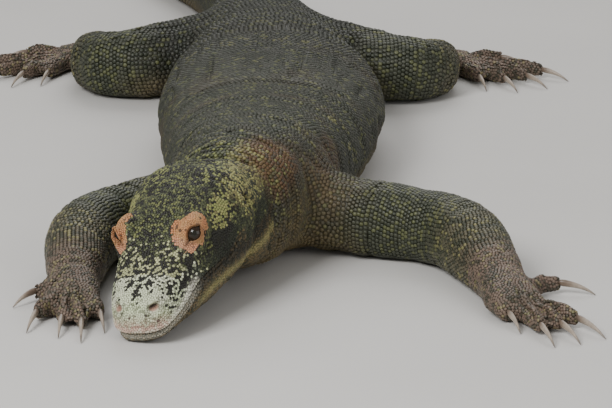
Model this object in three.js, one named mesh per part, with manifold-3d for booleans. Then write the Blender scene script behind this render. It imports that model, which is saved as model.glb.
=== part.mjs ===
// A Komodo dragon (Varanus komodoensis), life size, resting on its belly with its chin on the floor.
// Millimetres, +Z up. The floor is z = 0 and the animal looks towards -Y, with its left side at +X.
// It is modelled whole, from lofts joined into one body, and then parted by thin cuts into named pieces.
// The snout is near x = 0, y = 0 while it is modelled, and the whole is centred on the origin at the end.
import * as THREE from "three";
import { mergeVertices } from "three/addons/utils/BufferGeometryUtils.js";
import Module from "manifold-3d";

const wasm = await Module();
wasm.setup();

// ---------- driving dimensions ----------
const CHIN = { x: -7, y: 6, z: 12 }; // front of the mouth line, above the floor
const HEAD_YAW = 20; // degrees, the snout turned towards the animal's right
const HEAD_PITCH = 24; // degrees, the snout lowered
const HEAD_ROLL = -7; // degrees, the left side raised
const EYE_RADIUS = 12;
const EYE_SEGMENTS = 10;
const EYE = { back: 112.5, out: 41, up: 43.5 }; // centre of the eyeball in the head's frame
const SOCKET_GAP = 0.3;
const CUT = 0.4; // width of the thin cuts between pieces
const PRESS = 2.5; // how far soft parts would reach below the floor before they are flattened on it
const BODY_SIDES = 18;
const BODY_STEP = 60; // distance between the sections of the trunk
const HEAD_SIDES = 16;
const BULGE_SEGMENTS = 8; // round the bulges and openings of the head
const LIMB_SIDES = 10;
const LIMB_STEP = 34;
const DIGIT_SIDES = 6;
const DIGIT_STEPS = 3;
const CLAW_SIDES = 5;
const CUT_MARGIN = 14; // how much wider than the body a cut is
const CUT_HEIGHT = 220; // how far a cut reaches above and below the floor
const JAW_CUT_WIDTH = 242;
const FLOOR = { width: 4000, length: 6000, depth: 100 }; // the block that flattens the underside
const FULLNESS = { above: 2.2, below: 2.6 }; // powers of the superellipses of body and limbs, 2 is round
const HEAD_FULLNESS = { above: 2.5, below: 2.7 };
const DIGIT_FULLNESS = { above: 2, below: 2.2 };
const MERGE = 2.6; // details of the joined lofts smaller than this are merged
const FINE_MERGE = 0.18; // and those of the finished pieces

// ---------- profiles ----------
// half is the half width, top and low are heights, wide is the height of the widest line.
// The head in its own frame: at is the distance back from the snout, heights are from the mouth line.
const HEAD_PROFILE = [
  { at: 0, half: 14, top: 15, low: -8, wide: 2 },
  { at: 4, half: 25, top: 24, low: -12, wide: 2 },
  { at: 12, half: 31.5, top: 32, low: -16, wide: 3 },
  { at: 28, half: 38.5, top: 38, low: -21, wide: 4 },
  { at: 50, half: 46, top: 40, low: -27, wide: 3 },
  { at: 75, half: 51, top: 44, low: -37, wide: 1 },
  { at: 100, half: 54, top: 51, low: -48, wide: -1 },
  { at: 128, half: 58, top: 58, low: -58, wide: -2 },
  { at: 160, half: 65, top: 60, low: -66, wide: -4 },
  { at: 195, half: 69, top: 59, low: -69, wide: -4 },
  { at: 226, half: 67, top: 53, low: -64, wide: -2 },
  { at: 250, half: 55, top: 40, low: -52, wide: 0 },
];
const MOUTH_STEPS = 8;
const MOUTH_LINE = [
  [-24, -1],
  [12, 0],
  [34, 2.5],
  [58, 7],
  [80, 8],
  [103, 3],
  [145, -6],
  [176, 1],
]; // [back, up], from the lips to the corner of the mouth
const JAW_END = [
  [188, -14],
  [198, -40],
  [204, -130],
]; // where the lower jaw parts from the throat
const BROW = { out: 38, back: 116, up: 40, size: [15, 30, 21] }; // the bulge that holds each eye
const LIDS = { out: 46, back: 103.5, up: 50.5, size: [8.5, 9.5, 8] }; // the opening between its lids
const JOWL = { out: 50, back: 198, up: 0, size: [24, 44, 38] }; // the jaw muscle at each side
const NOSTRIL = { out: 20.5, back: 13.5, up: 28, size: [5, 7, 4] };
const EAR = { out: 70, back: 203, up: 16, size: [8, 6, 11] };

// The body from inside the back of the head to the tip of the tail, at is the distance along the spine.
const SPINE = [
  [44, 150],
  [66, 200],
  [84, 250],
  [96, 300],
  [103, 345],
  [107, 390],
  [113, 490],
  [121, 620],
  [126, 770],
  [123, 920],
  [114, 1060],
  [104, 1170],
  [94, 1270],
  [74, 1410],
  [34, 1570],
  [-34, 1730],
  [-124, 1885],
  [-216, 2030],
  [-286, 2180],
  [-318, 2340],
  [-322, 2430],
];
const BODY_PROFILE = [
  { at: 0, half: 46, top: 112, low: 38, wide: 74 },
  { at: 55, half: 61, top: 141, low: 22, wide: 77 },
  { at: 107, half: 71, top: 154, low: 10, wide: 77 },
  { at: 160, half: 79, top: 160, low: 1, wide: 74 },
  { at: 205, half: 86, top: 161, low: -PRESS, wide: 72 },
  { at: 250, half: 96, top: 157, low: -PRESS, wide: 68 },
  { at: 350, half: 113, top: 148, low: -PRESS, wide: 62 },
  { at: 480, half: 134, top: 142, low: -PRESS, wide: 56 },
  { at: 630, half: 147, top: 139, low: -PRESS, wide: 53 },
  { at: 770, half: 136, top: 138, low: -PRESS, wide: 54 },
  { at: 860, half: 112, top: 137, low: -PRESS, wide: 56 },
  { at: 940, half: 96, top: 135, low: -PRESS, wide: 57 },
  { at: 1030, half: 83, top: 131, low: -PRESS, wide: 57 },
  { at: 1131, half: 67, top: 123, low: -PRESS, wide: 55 },
  { at: 1272, half: 53, top: 109, low: -PRESS, wide: 50 },
  { at: 1437, half: 42, top: 93, low: -PRESS, wide: 43 },
  { at: 1611, half: 33.5, top: 77, low: -PRESS, wide: 36 },
  { at: 1790, half: 26, top: 62, low: -PRESS, wide: 29 },
  { at: 1962, half: 19, top: 47, low: -PRESS, wide: 22 },
  { at: 2128, half: 13, top: 33, low: -PRESS, wide: 15 },
  { at: 2291, half: 7.5, top: 19, low: -2, wide: 8 },
  { at: 2381, half: 3, top: 7, low: -1, wide: 3 },
];

const ARM_PROFILE = [
  { at: 0, half: 42, top: 116, low: 10, wide: 64 },
  { at: 50, half: 46, top: 101, low: -PRESS, wide: 52 },
  { at: 110, half: 41, top: 88, low: -PRESS, wide: 45 },
  { at: 170, half: 39, top: 85, low: -PRESS, wide: 43 },
  { at: 225, half: 42, top: 84, low: -PRESS, wide: 41 },
  { at: 272, half: 39, top: 76, low: -PRESS, wide: 36 },
  { at: 318, half: 33, top: 62, low: -PRESS, wide: 30 },
  { at: 356, half: 28.5, top: 47, low: -PRESS, wide: 24 },
  { at: 390, half: 33, top: 38, low: -PRESS, wide: 18 },
  { at: 425, half: 31, top: 29, low: -PRESS, wide: 13 },
];
const ARM_PATHS = {
  left: [
    [150, 365],
    [215, 345],
    [262, 331],
    [308, 312],
    [342, 279],
    [361, 236],
    [374, 189],
    [384, 148],
    [394, 110],
    [403, 88],
  ],
  right: [
    [62, 365],
    [8, 354],
    [-38, 334],
    [-68, 300],
    [-82, 255],
    [-86, 208],
    [-85, 165],
    [-84, 126],
    [-82, 98],
  ],
};

const LEG_PROFILE = [
  { at: 0, half: 54, top: 116, low: 8, wide: 60 },
  { at: 60, half: 58, top: 108, low: -PRESS, wide: 53 },
  { at: 120, half: 54, top: 99, low: -PRESS, wide: 48 },
  { at: 175, half: 47, top: 90, low: -PRESS, wide: 44 },
  { at: 215, half: 41, top: 83, low: -PRESS, wide: 40 },
  { at: 255, half: 36, top: 73, low: -PRESS, wide: 35 },
  { at: 300, half: 29, top: 59, low: -PRESS, wide: 28 },
  { at: 330, half: 26, top: 47, low: -PRESS, wide: 22 },
  { at: 358, half: 30, top: 38, low: -PRESS, wide: 18 },
  { at: 388, half: 34, top: 31, low: -PRESS, wide: 13 },
];
const LEG_PATHS = {
  left: [
    [150, 1118],
    [208, 1090],
    [266, 1062],
    [312, 1052],
    [340, 1080],
    [346, 1132],
    [344, 1176],
    [360, 1206],
    [398, 1208],
  ],
  right: [
    [62, 1118],
    [8, 1100],
    [-50, 1082],
    [-94, 1086],
    [-116, 1118],
    [-120, 1168],
    [-122, 1212],
    [-142, 1240],
    [-178, 1236],
  ],
};

// Digits, from the thumb outwards: where each leaves the palm or sole, where its claw starts
// and where that ends.
const DIGITS = {
  hand_left: [
    { root: [382, 112], claw: [387, 77], tip: [397, 41] },
    { root: [396, 100], claw: [418, 36], tip: [430, -5] },
    { root: [404, 98], claw: [440, 42], tip: [458, 4] },
    { root: [408, 106], claw: [459, 60], tip: [486, 23] },
    { root: [400, 138], claw: [450, 186], tip: [488, 178] },
  ],
  hand_right: [
    { root: [-62, 120], claw: [-52, 82], tip: [-45, 44] },
    { root: [-74, 106], claw: [-70, 52], tip: [-68, 11] },
    { root: [-88, 106], claw: [-92, 64], tip: [-93, 26] },
    { root: [-98, 114], claw: [-120, 82], tip: [-128, 44] },
    { root: [-100, 138], claw: [-128, 156], tip: [-150, 132] },
  ],
  foot_left: [
    { root: [384, 1192], claw: [408, 1138], tip: [416, 1100] },
    { root: [390, 1196], claw: [442, 1130], tip: [458, 1092] },
    { root: [392, 1206], claw: [474, 1144], tip: [500, 1112] },
    { root: [390, 1216], claw: [498, 1178], tip: [532, 1156] },
    { root: [382, 1226], claw: [446, 1252], tip: [480, 1242] },
  ],
  foot_right: [
    { root: [-166, 1220], claw: [-188, 1166], tip: [-196, 1130] },
    { root: [-170, 1224], claw: [-222, 1160], tip: [-236, 1122] },
    { root: [-174, 1232], claw: [-256, 1174], tip: [-280, 1144] },
    { root: [-174, 1242], claw: [-282, 1210], tip: [-316, 1190] },
    { root: [-164, 1254], claw: [-228, 1284], tip: [-262, 1276] },
  ],
};
// Where the pieces part, as distances along each run.
const BODY_CUTS = [85, 150, 470, 830, 1100, 1400, 1740, 2070];
const BODY_NAMES = [
  "head",
  "neck",
  "chest",
  "belly",
  "pelvis",
  "tail_base",
  "tail_middle",
  "tail_rear",
  "tail_tip",
];
const ARM_CUTS = [80, 236, 325];
const LEG_CUTS = [114, 214, 318];
const JAW_PROBE = new THREE.Vector3(0, 90, -14); // a point inside the lower jaw, in the head's frame
const PROBE = [2, 2, 2]; // radii of the small ball that tells which piece a point lies in

// Sizes along a finger, from the palm over its knuckles to the claw.
const DIGIT_PROFILE = [
  { half: 9.5, top: 27, low: -1.2, wide: 11 },
  { half: 8, top: 25, low: -1.2, wide: 11 },
  { half: 8.5, top: 27, low: -1.2, wide: 11 },
  { half: 7, top: 23, low: 2, wide: 11 },
];
const DIGIT_LEAN = 0.2; // share of a finger that already points the way of its claw
const CLAW = {
  rise: 13, // height of its middle where it leaves the finger
  high: 6.4, // half height and half width there
  half: 4.6,
  point: 0.7, // half size of its blunt tip
  rooted: 3, // how far it starts inside the finger
  hump: [0.6, 14], // the share of its length and the height that it arches towards
  stations: [0, 0.4, 0.75, 1],
};

// ---------- geometry ----------
const radians = THREE.MathUtils.degToRad;

// A smooth value of one key of a profile at a distance, by Catmull-Rom through its rows.
function valueAt(profile, key, at) {
  const last = profile.length - 2;
  let i = profile.findIndex((row) => row.at > at) - 1;
  i = i < 0 ? (at <= profile[0].at ? 0 : last) : Math.min(i, last);
  const [p, q] = [profile[i], profile[i + 1]];
  const slope = (a, b) => (b[key] - a[key]) / (b.at - a.at);
  const here = slope(p, q);
  const start = i > 0 ? slope(profile[i - 1], q) : here;
  const end = i < last ? slope(p, profile[i + 2]) : here;
  const span = q.at - p.at;
  const t = THREE.MathUtils.clamp((at - p.at) / span, 0, 1);
  return (
    p[key] * (1 + 2 * t) * (1 - t) ** 2 +
    q[key] * t * t * (3 - 2 * t) +
    span * t * (1 - t) * (start * (1 - t) - end * t)
  );
}

// A closed body through rings of points that all have the same number of points.
function loft(rings) {
  const sides = rings[0].length;
  const ends = [rings[0], rings[rings.length - 1]].map((ring) =>
    ring.reduce((sum, p) => sum.add(p), new THREE.Vector3()).divideScalar(sides),
  );
  const points = [...rings.flat(), ...ends];
  const [front, back] = [points.length - 2, points.length - 1];
  const lastRing = (rings.length - 1) * sides;
  const index = [];
  for (let j = 0; j < sides; j++) {
    const k = (j + 1) % sides;
    index.push(front, j, k, back, lastRing + k, lastRing + j);
    for (let row = 0; row < lastRing; row += sides) {
      index.push(row + j, row + sides + j, row + k);
      index.push(row + k, row + sides + j, row + sides + k);
    }
  }
  return new THREE.BufferGeometry().setFromPoints(points).setIndex(index);
}

// One upright cross-section: a superellipse that may be fuller below the widest line than above it.
function section(place, side, { half, top, low, wide }, sides, full) {
  const bend = (x, power) => Math.sign(x) * Math.abs(x) ** (2 / power);
  return Array.from({ length: sides }, (_, j) => {
    const angle = (2 * Math.PI * (j + 0.5)) / sides;
    const power = Math.sin(angle) > 0 ? full.above : full.below;
    const out = half * bend(Math.cos(angle), power);
    const rise = bend(Math.sin(angle), power);
    const z = wide + (rise > 0 ? rise * (top - wide) : rise * (wide - low));
    return new THREE.Vector3(place.x + side.x * out, place.y + side.y * out, place.z + z);
  });
}

// The place and direction at a distance along a path on the floor, in the profile's own
// measure of its length.
function placeOn(path, profile, at) {
  const curve = new THREE.CatmullRomCurve3(
    path.map(([x, y]) => new THREE.Vector3(x, y, 0)),
    false,
    "centripetal",
  );
  const share = Math.min(at / profile[profile.length - 1].at, 1);
  return { place: curve.getPointAt(share), along: curve.getTangentAt(share) };
}

// A body that follows a path on the floor, with its size from a profile.
// Its sections are a step apart, or with no step they are the rows of the profile.
function run(path, profile, step, sides, full = FULLNESS) {
  const length = profile[profile.length - 1].at;
  const count = step ? Math.max(3, Math.round(length / step)) : 0;
  const even = Array.from({ length: count + 1 }, (_, i) => (length * i) / count);
  const stations = step ? even : profile.map((row) => row.at);
  const rings = stations.map((at) => {
    const { place, along } = placeOn(path, profile, at);
    const side = new THREE.Vector3(along.y, -along.x, 0);
    const size = {};
    for (const key of ["half", "top", "low", "wide"]) size[key] = valueAt(profile, key, at);
    return section(place, side, size, sides, full);
  });
  return loft(rings);
}

// ---------- solids ----------
function solidOf(geometry) {
  const bare = geometry.clone();
  bare.deleteAttribute("normal");
  bare.deleteAttribute("uv");
  const merged = mergeVertices(bare, 1e-3);
  return new wasm.Manifold(
    new wasm.Mesh({
      numProp: 3,
      vertProperties: new Float32Array(merged.getAttribute("position").array),
      triVerts: new Uint32Array(merged.index.array),
    }),
  );
}

function geometryOf(solid) {
  const { vertProperties, triVerts } = solid.getMesh();
  const geometry = new THREE.BufferGeometry();
  geometry.setAttribute("position", new THREE.BufferAttribute(vertProperties, 3));
  geometry.setIndex(new THREE.BufferAttribute(triVerts, 1));
  geometry.computeVertexNormals();
  return geometry;
}

function ellipsoid(place, radii, segments) {
  const rows = Math.round(segments * 0.7);
  return new THREE.SphereGeometry(1, segments, rows).scale(...radii).translate(...place);
}

// ---------- the head ----------
// It is made in its own frame: x to its left, y back from the snout, z up from the mouth line.
const headPose = new THREE.Matrix4().makeRotationFromEuler(
  new THREE.Euler(radians(HEAD_PITCH), radians(HEAD_ROLL), radians(-HEAD_YAW), "ZYX"),
);
headPose.setPosition(CHIN.x, CHIN.y, CHIN.z);

// An ellipsoid of the head on one side, where side is 1 for the left and -1 for the right.
const onSide = ({ out, back, up, size }, side, segments) =>
  solidOf(ellipsoid([side * out, back, up], size, segments));

function headForm() {
  const path = [
    [0, 0],
    [0, HEAD_PROFILE[HEAD_PROFILE.length - 1].at],
  ];
  let form = solidOf(run(path, HEAD_PROFILE, null, HEAD_SIDES, HEAD_FULLNESS));
  for (const side of [-1, 1]) {
    for (const bulge of [BROW, JOWL]) form = form.add(onSide(bulge, side, BULGE_SEGMENTS));
  }
  return form;
}

// Eye sockets, the openings of lids, nostrils and ears, and the parting of the jaws, as one cutter.
function headCuts() {
  const socket = EYE_RADIUS + SOCKET_GAP;
  let cuts = jawParting();
  for (const side of [-1, 1]) {
    cuts = cuts.add(onSide({ ...EYE, size: [socket, socket, socket] }, side, EYE_SEGMENTS));
    for (const opening of [LIDS, NOSTRIL, EAR]) {
      cuts = cuts.add(onSide(opening, side, BULGE_SEGMENTS));
    }
  }
  return cuts;
}

// A thin sheet along the mouth line that turns down behind the corner of the mouth.
function jawParting() {
  const lips = new THREE.SplineCurve(MOUTH_LINE.map(([y, z]) => new THREE.Vector2(y, z)));
  const line = [...lips.getPoints(MOUTH_STEPS), ...JAW_END.map(([y, z]) => new THREE.Vector2(y, z))];
  const edges = line.map((point, i) => {
    const along = line[Math.min(i + 1, line.length - 1)].clone().sub(line[Math.max(i - 1, 0)]);
    const across = new THREE.Vector2(-along.y, along.x).setLength(CUT / 2);
    return [point.clone().add(across), point.clone().sub(across)];
  });
  const outline = [...edges.map((pair) => pair[0]), ...edges.map((pair) => pair[1]).reverse()];
  const shape = new THREE.Shape(outline);
  const sheet = new THREE.ExtrudeGeometry(shape, { depth: JAW_CUT_WIDTH, bevelEnabled: false });
  // The shape's x and y become the head's y and z, and its depth lies across the head.
  const turn = new THREE.Matrix4().makeBasis(
    new THREE.Vector3(0, 1, 0),
    new THREE.Vector3(0, 0, 1),
    new THREE.Vector3(1, 0, 0),
  );
  return solidOf(sheet.applyMatrix4(turn).translate(-JAW_CUT_WIDTH / 2, 0, 0));
}

const inHeadPose = (solid) => solidOf(geometryOf(solid).applyMatrix4(headPose));

// ---------- fingers, toes and claws ----------
function digit({ root, claw, tip }) {
  const [start, end, point] = [root, claw, tip].map(([x, y]) => new THREE.Vector2(x, y));
  const length = start.distanceTo(end);
  const rows = DIGIT_PROFILE.length - 1;
  const profile = DIGIT_PROFILE.map((row, i) => ({ ...row, at: (length * i) / rows }));
  const lean = point.clone().sub(end).setLength(length * DIGIT_LEAN);
  const bend = end.clone().sub(lean);
  const path = [start, bend, end].map((p) => [p.x, p.y]);
  return solidOf(run(path, profile, length / DIGIT_STEPS, DIGIT_SIDES, DIGIT_FULLNESS));
}

// A hooked claw that leaves the finger level and ends with its blunt tip on the floor.
// With a grow it is that much bigger all round, as the pocket that it sits in.
function clawGeometry({ claw, tip }, grow = 0) {
  const from = new THREE.Vector3(...claw, CLAW.rise);
  const to = new THREE.Vector3(...tip, CLAW.point + CUT / 2);
  const ahead = to.clone().sub(from).setZ(0).normalize();
  from.addScaledVector(ahead, -CLAW.rooted - grow);
  const over = from.clone().lerp(to, CLAW.hump[0]).setZ(CLAW.hump[1]);
  const curve = new THREE.QuadraticBezierCurve3(from, over, to);
  const side = new THREE.Vector3(ahead.y, -ahead.x, 0);
  const rings = CLAW.stations.map((t) => {
    const along = t === 0 ? ahead : curve.getTangent(t);
    const up = side.clone().cross(along).normalize();
    const high = THREE.MathUtils.lerp(CLAW.high, CLAW.point, t) + grow;
    const half = THREE.MathUtils.lerp(CLAW.half, CLAW.point, t) + grow;
    return Array.from({ length: CLAW_SIDES }, (_, j) => {
      const angle = (2 * Math.PI * j) / CLAW_SIDES;
      const place = curve.getPoint(t).addScaledVector(side, half * Math.cos(angle));
      return place.addScaledVector(up, high * Math.sin(angle));
    });
  });
  return loft(rings);
}

// ---------- the whole body, and its parting ----------
function wholeBody() {
  let body = solidOf(run(SPINE, BODY_PROFILE, BODY_STEP, BODY_SIDES));
  body = body.add(inHeadPose(headForm()));
  for (const side of ["left", "right"]) {
    body = body.add(solidOf(run(ARM_PATHS[side], ARM_PROFILE, LIMB_STEP, LIMB_SIDES)));
    body = body.add(solidOf(run(LEG_PATHS[side], LEG_PROFILE, LIMB_STEP, LIMB_SIDES)));
  }
  const digits = Object.values(DIGITS).flat();
  for (const each of digits) body = body.add(digit(each));
  const floor = new THREE.BoxGeometry(FLOOR.width, FLOOR.length, FLOOR.depth);
  floor.translate(0, 0, -FLOOR.depth / 2);
  body = body.subtract(solidOf(floor)).simplify(MERGE).subtract(inHeadPose(headCuts()));
  for (const each of digits) body = body.subtract(solidOf(clawGeometry(each, CUT)));
  return body;
}

// A thin upright sheet across a path, a little wider than the body there.
function crossCut(path, profile, at) {
  const { place, along } = placeOn(path, profile, at);
  const width = 2 * valueAt(profile, "half", at) + CUT_MARGIN;
  const sheet = new THREE.BoxGeometry(CUT, width, 2 * CUT_HEIGHT);
  sheet.rotateZ(Math.atan2(along.y, along.x));
  return solidOf(sheet.translate(place.x, place.y, 0));
}

// Each run of the body with the names of its pieces and the distances where they part.
const RUNS = [
  { path: SPINE, profile: BODY_PROFILE, cuts: BODY_CUTS, names: BODY_NAMES },
  ...["left", "right"].flatMap((side) => [
    {
      path: ARM_PATHS[side],
      profile: ARM_PROFILE,
      cuts: ARM_CUTS,
      names: [null, `upper_arm_${side}`, `forearm_${side}`, `hand_${side}`],
    },
    {
      path: LEG_PATHS[side],
      profile: LEG_PROFILE,
      cuts: LEG_CUTS,
      names: [null, `thigh_${side}`, `shank_${side}`, `foot_${side}`],
    },
  ]),
];

// Parts the body with thin cuts and gives each piece the name of the stretch that its probe lies in.
function partedBody() {
  let body = wholeBody();
  const probes = [{ name: "lower_jaw", place: JAW_PROBE.clone().applyMatrix4(headPose) }];
  for (const { path, profile, cuts, names } of RUNS) {
    const stops = [0, ...cuts, profile[profile.length - 1].at];
    for (const at of cuts) body = body.subtract(crossCut(path, profile, at));
    names.forEach((name, i) => {
      const middle = (stops[i] + stops[i + 1]) / 2;
      const height = valueAt(profile, "top", middle) / 2;
      const place = placeOn(path, profile, middle).place.setZ(height);
      if (name) probes.push({ name, place });
    });
  }
  const pieces = new Map();
  for (const piece of body.decompose()) {
    const found = probes.find(({ place }) => {
      const probe = solidOf(ellipsoid(place.toArray(), PROBE, BULGE_SEGMENTS));
      return !piece.intersect(probe).isEmpty();
    });
    if (found) pieces.set(found.name, piece.simplify(FINE_MERGE));
  }
  return pieces;
}

// ---------- materials, with the colours of each kind of surface ----------
const MATERIALS = {
  hide: { color: 0x3b3a2c, roughness: 0.78, metalness: 0 },
  face: { color: 0x8f9374, roughness: 0.72, metalness: 0 },
  claw: { color: 0x9a958b, roughness: 0.45, metalness: 0 },
  eye: { color: 0x15110c, roughness: 0.08, metalness: 0 },
};
const FACE_NODES = ["head", "lower_jaw"];

function mesh(name, geometry, kind) {
  const made = new THREE.Mesh(geometry, new THREE.MeshStandardMaterial(MATERIALS[kind]));
  made.name = name;
  return made;
}

// ---------- the scene graph ----------
const dragon = new THREE.Group();
for (const [name, solid] of partedBody()) {
  dragon.add(mesh(name, geometryOf(solid), FACE_NODES.includes(name) ? "face" : "hide"));
}

const head = new THREE.Group();
head.applyMatrix4(headPose);
dragon.add(head);
for (const [side, sign] of [["left", 1], ["right", -1]]) {
  const ball = ellipsoid([0, 0, 0], [EYE_RADIUS, EYE_RADIUS, EYE_RADIUS], EYE_SEGMENTS);
  const eye = mesh(`eye_${side}`, ball, "eye");
  eye.position.set(sign * EYE.out, EYE.back, EYE.up);
  head.add(eye);
}

for (const [limb, digits] of Object.entries(DIGITS)) {
  digits.forEach((each, i) => {
    dragon.add(mesh(`claw_${limb}_${i + 1}`, clawGeometry(each), "claw"));
  });
}

// The origin is at the bottom centre of the whole.
const box = new THREE.Box3().setFromObject(dragon, true);
const middle = box.getCenter(new THREE.Vector3());
dragon.position.set(-middle.x, -middle.y, -box.min.z);

export default dragon;
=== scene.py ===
"""A life-size Komodo dragon resting on its belly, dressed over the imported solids.

One skin follows the solids of the flesh, and carries thousands of small overlapping scales.
Lengths are written in millimetres times MM, and everything in the scene is in metres.
"""

import math

import bmesh
import bpy
import numpy as np
from mathutils import Euler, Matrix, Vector
from mathutils.bvhtree import BVHTree
from mathutils.kdtree import KDTree


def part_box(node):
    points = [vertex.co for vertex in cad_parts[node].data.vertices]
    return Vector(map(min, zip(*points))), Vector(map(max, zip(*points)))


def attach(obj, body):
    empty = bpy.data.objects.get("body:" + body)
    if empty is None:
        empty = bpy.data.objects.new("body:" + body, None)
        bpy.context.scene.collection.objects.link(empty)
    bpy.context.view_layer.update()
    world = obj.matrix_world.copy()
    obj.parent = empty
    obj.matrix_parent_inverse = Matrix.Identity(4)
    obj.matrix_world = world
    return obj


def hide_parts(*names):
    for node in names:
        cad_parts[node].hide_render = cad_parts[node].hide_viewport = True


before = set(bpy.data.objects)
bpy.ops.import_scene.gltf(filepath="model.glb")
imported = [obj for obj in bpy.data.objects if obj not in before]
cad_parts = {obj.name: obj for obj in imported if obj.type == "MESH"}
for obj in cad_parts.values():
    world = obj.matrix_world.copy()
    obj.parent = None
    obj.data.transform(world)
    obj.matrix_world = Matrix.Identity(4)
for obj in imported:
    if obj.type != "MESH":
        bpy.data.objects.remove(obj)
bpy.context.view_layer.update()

MM = 0.001
BODY = "root"

# ---------- the photograph's view, with the floor point under the snout as its origin ----------
PHOTO_WIDTH = 612
FOCAL_PIXELS = 3333
SENSOR_WIDTH = 36
CAMERA_TILT = 16  # degrees below the horizon
CAMERA_PLACE = Vector((169.07, -3323.0, 1109.1)) * MM

# ---------- the head's own frame: x to its left, y back from the snout, z up from the mouth ----------
# In functions, q are points in this frame, and m the same with the right side turned onto the left.
HEAD_YAW = 20
HEAD_PITCH = 24
HEAD_ROLL = -7
CHIN = Vector((-7, 6, 12)) * MM
EYE = Vector((41, 112.5, 43.5)) * MM
EYE_RADIUS = 12 * MM

FLESH = [
    "head", "lower_jaw", "neck", "chest", "belly", "pelvis",
    "tail_base", "tail_middle", "tail_rear", "tail_tip",
]
EYES = ["eye_left", "eye_right"]
LIMBS = ["upper_arm", "forearm", "hand", "thigh", "shank", "foot"]
for part in LIMBS:
    FLESH += [f"{part}_left", f"{part}_right"]


def middle(node):
    """The centre of a node's box."""
    low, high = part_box(node)
    return (low + high) / 2


def centre(node):
    """The same as an array."""
    return np.array(middle(node))


turns = (math.radians(HEAD_PITCH), math.radians(HEAD_ROLL), math.radians(-HEAD_YAW))
head_turn = Euler(turns, "XYZ").to_matrix()
head_origin = middle("eye_left") - head_turn @ EYE
ground_origin = head_origin - CHIN
HEAD_AXES = np.array(head_turn)


def to_head(points):
    """Points of the row frame in the head's frame, in millimetres."""
    return (points - np.array(head_origin)) @ HEAD_AXES / MM


def from_head(points):
    """Points of the head's frame in millimetres, in the row frame."""
    return points * MM @ HEAD_AXES.T + np.array(head_origin)


# ---------- steady noise ----------
def cell_random(cells, seed):
    """A number from 0 to 1 for each whole-number cell, the same in every run."""
    c = cells.astype(np.int64)
    mixed = (c[..., 0] * 73856093) ^ (c[..., 1] * 19349663) ^ (c[..., 2] * 83492791)
    mixed = mixed ^ (seed * 961748941)
    mixed = (mixed ^ (mixed >> 13)) * 1274126177
    mixed = mixed ^ (mixed >> 16)
    return (mixed & 0xFFFFFF) / float(0x1000000)


def noise(points, size, seed):
    """Smooth noise from -1 to 1, with forms of about that size."""
    place = points / size
    cell = np.floor(place)
    share = place - cell
    share = share * share * (3 - 2 * share)
    total = np.zeros(len(points))
    for corner in np.ndindex(2, 2, 2):
        weight = np.prod(np.where(corner, share, 1 - share), axis=1)
        total += weight * cell_random(cell + corner, seed)
    return 2 * total - 1


def rough_noise(points, size, seed):
    """Noise of three sizes, each half of the one before."""
    return sum(noise(points, size / 2**i, seed + i) * 0.57**i for i in range(3)) / 1.9


# ---------- meshes and arrays ----------
def placed(name, data):
    """A new object in the scene."""
    made = bpy.data.objects.new(name, data)
    bpy.context.scene.collection.objects.link(made)
    return made


def make_object(name, points, loops, counts):
    """An object from its points, the corners of its faces one after another, and each face's count."""
    mesh = bpy.data.meshes.new(name)
    mesh.vertices.add(len(points))
    mesh.vertices.foreach_set("co", np.asarray(points, np.float32).ravel())
    mesh.loops.add(len(loops))
    mesh.loops.foreach_set("vertex_index", np.asarray(loops, np.int32).ravel())
    mesh.polygons.add(len(counts))
    starts = np.concatenate(([0], np.cumsum(counts)[:-1]))
    mesh.polygons.foreach_set("loop_start", starts.astype(np.int32))
    mesh.update(calc_edges=True)
    return placed(name, mesh)


def applied(thing):
    """The mesh of an object after its modifiers."""
    graph = bpy.context.evaluated_depsgraph_get()
    return bpy.data.meshes.new_from_object(thing.evaluated_get(graph))


def shade_smooth(mesh):
    mesh.polygons.foreach_set("use_smooth", [True] * len(mesh.polygons))


def read(items, key, width, kind):
    """One property of a mesh's points, edges or triangles, with a row for each."""
    found = np.empty(len(items) * width, kind)
    items.foreach_get(key, found)
    return found.reshape(-1, width)


def points_of(mesh):
    return read(mesh.vertices, "co", 3, np.float32).astype(float)


def normals_of(mesh):
    return read(mesh.vertex_normals, "vector", 3, np.float32).astype(float)


def edges_of(mesh):
    return read(mesh.edges, "vertices", 2, np.int32)


def set_points(mesh, points):
    """Moves a mesh's points."""
    mesh.vertices.foreach_set("co", points.astype(np.float32).ravel())
    mesh.update()


def joined_arrays(names):
    """The points and the faces of several nodes as one list each, and which node each face is from."""
    points, faces, owners = [], [], []
    start = 0
    for number, name in enumerate(names):
        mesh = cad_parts[name].data
        here = points_of(mesh)
        points.append(here)
        for face in mesh.polygons:
            faces.append([start + corner for corner in face.vertices])
            owners.append(number)
        start += len(here)
    return np.concatenate(points), faces, np.array(owners)


def neighbour_mean(values, edges, count):
    """The mean of each point's neighbours along the edges."""
    a, b = edges[:, 0], edges[:, 1]
    ends = np.concatenate((a, b))
    others = np.concatenate((b, a))
    degree = np.maximum(np.bincount(ends, minlength=count), 1)
    if values.ndim == 1:
        return np.bincount(ends, values[others], count) / degree
    columns = range(values.shape[1])
    return np.stack([np.bincount(ends, values[others, k], count) / degree for k in columns], 1)


def smoothed(values, edges, strength, rounds):
    """Values moved towards their neighbours' mean, by a strength that may differ from point to point."""
    amount = strength[:, None] if values.ndim == 2 and np.ndim(strength) else strength
    for _ in range(rounds):
        values = values + amount * (neighbour_mean(values, edges, len(values)) - values)
    return values


def kept_smooth(points, edges, strength, rounds):
    """Smoothed points that don't shrink: what the first smoothing took away is smoothed and given back."""
    once = smoothed(points, edges, strength, rounds)
    return once + smoothed(points - once, edges, strength, rounds)


def lengths_of(rows):
    """The length of each row."""
    return np.linalg.norm(rows, axis=1)


def travelled(path):
    """How far along a path each of its points lies."""
    return np.concatenate(([0], np.cumsum(lengths_of(np.diff(path, axis=0)))))


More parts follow.
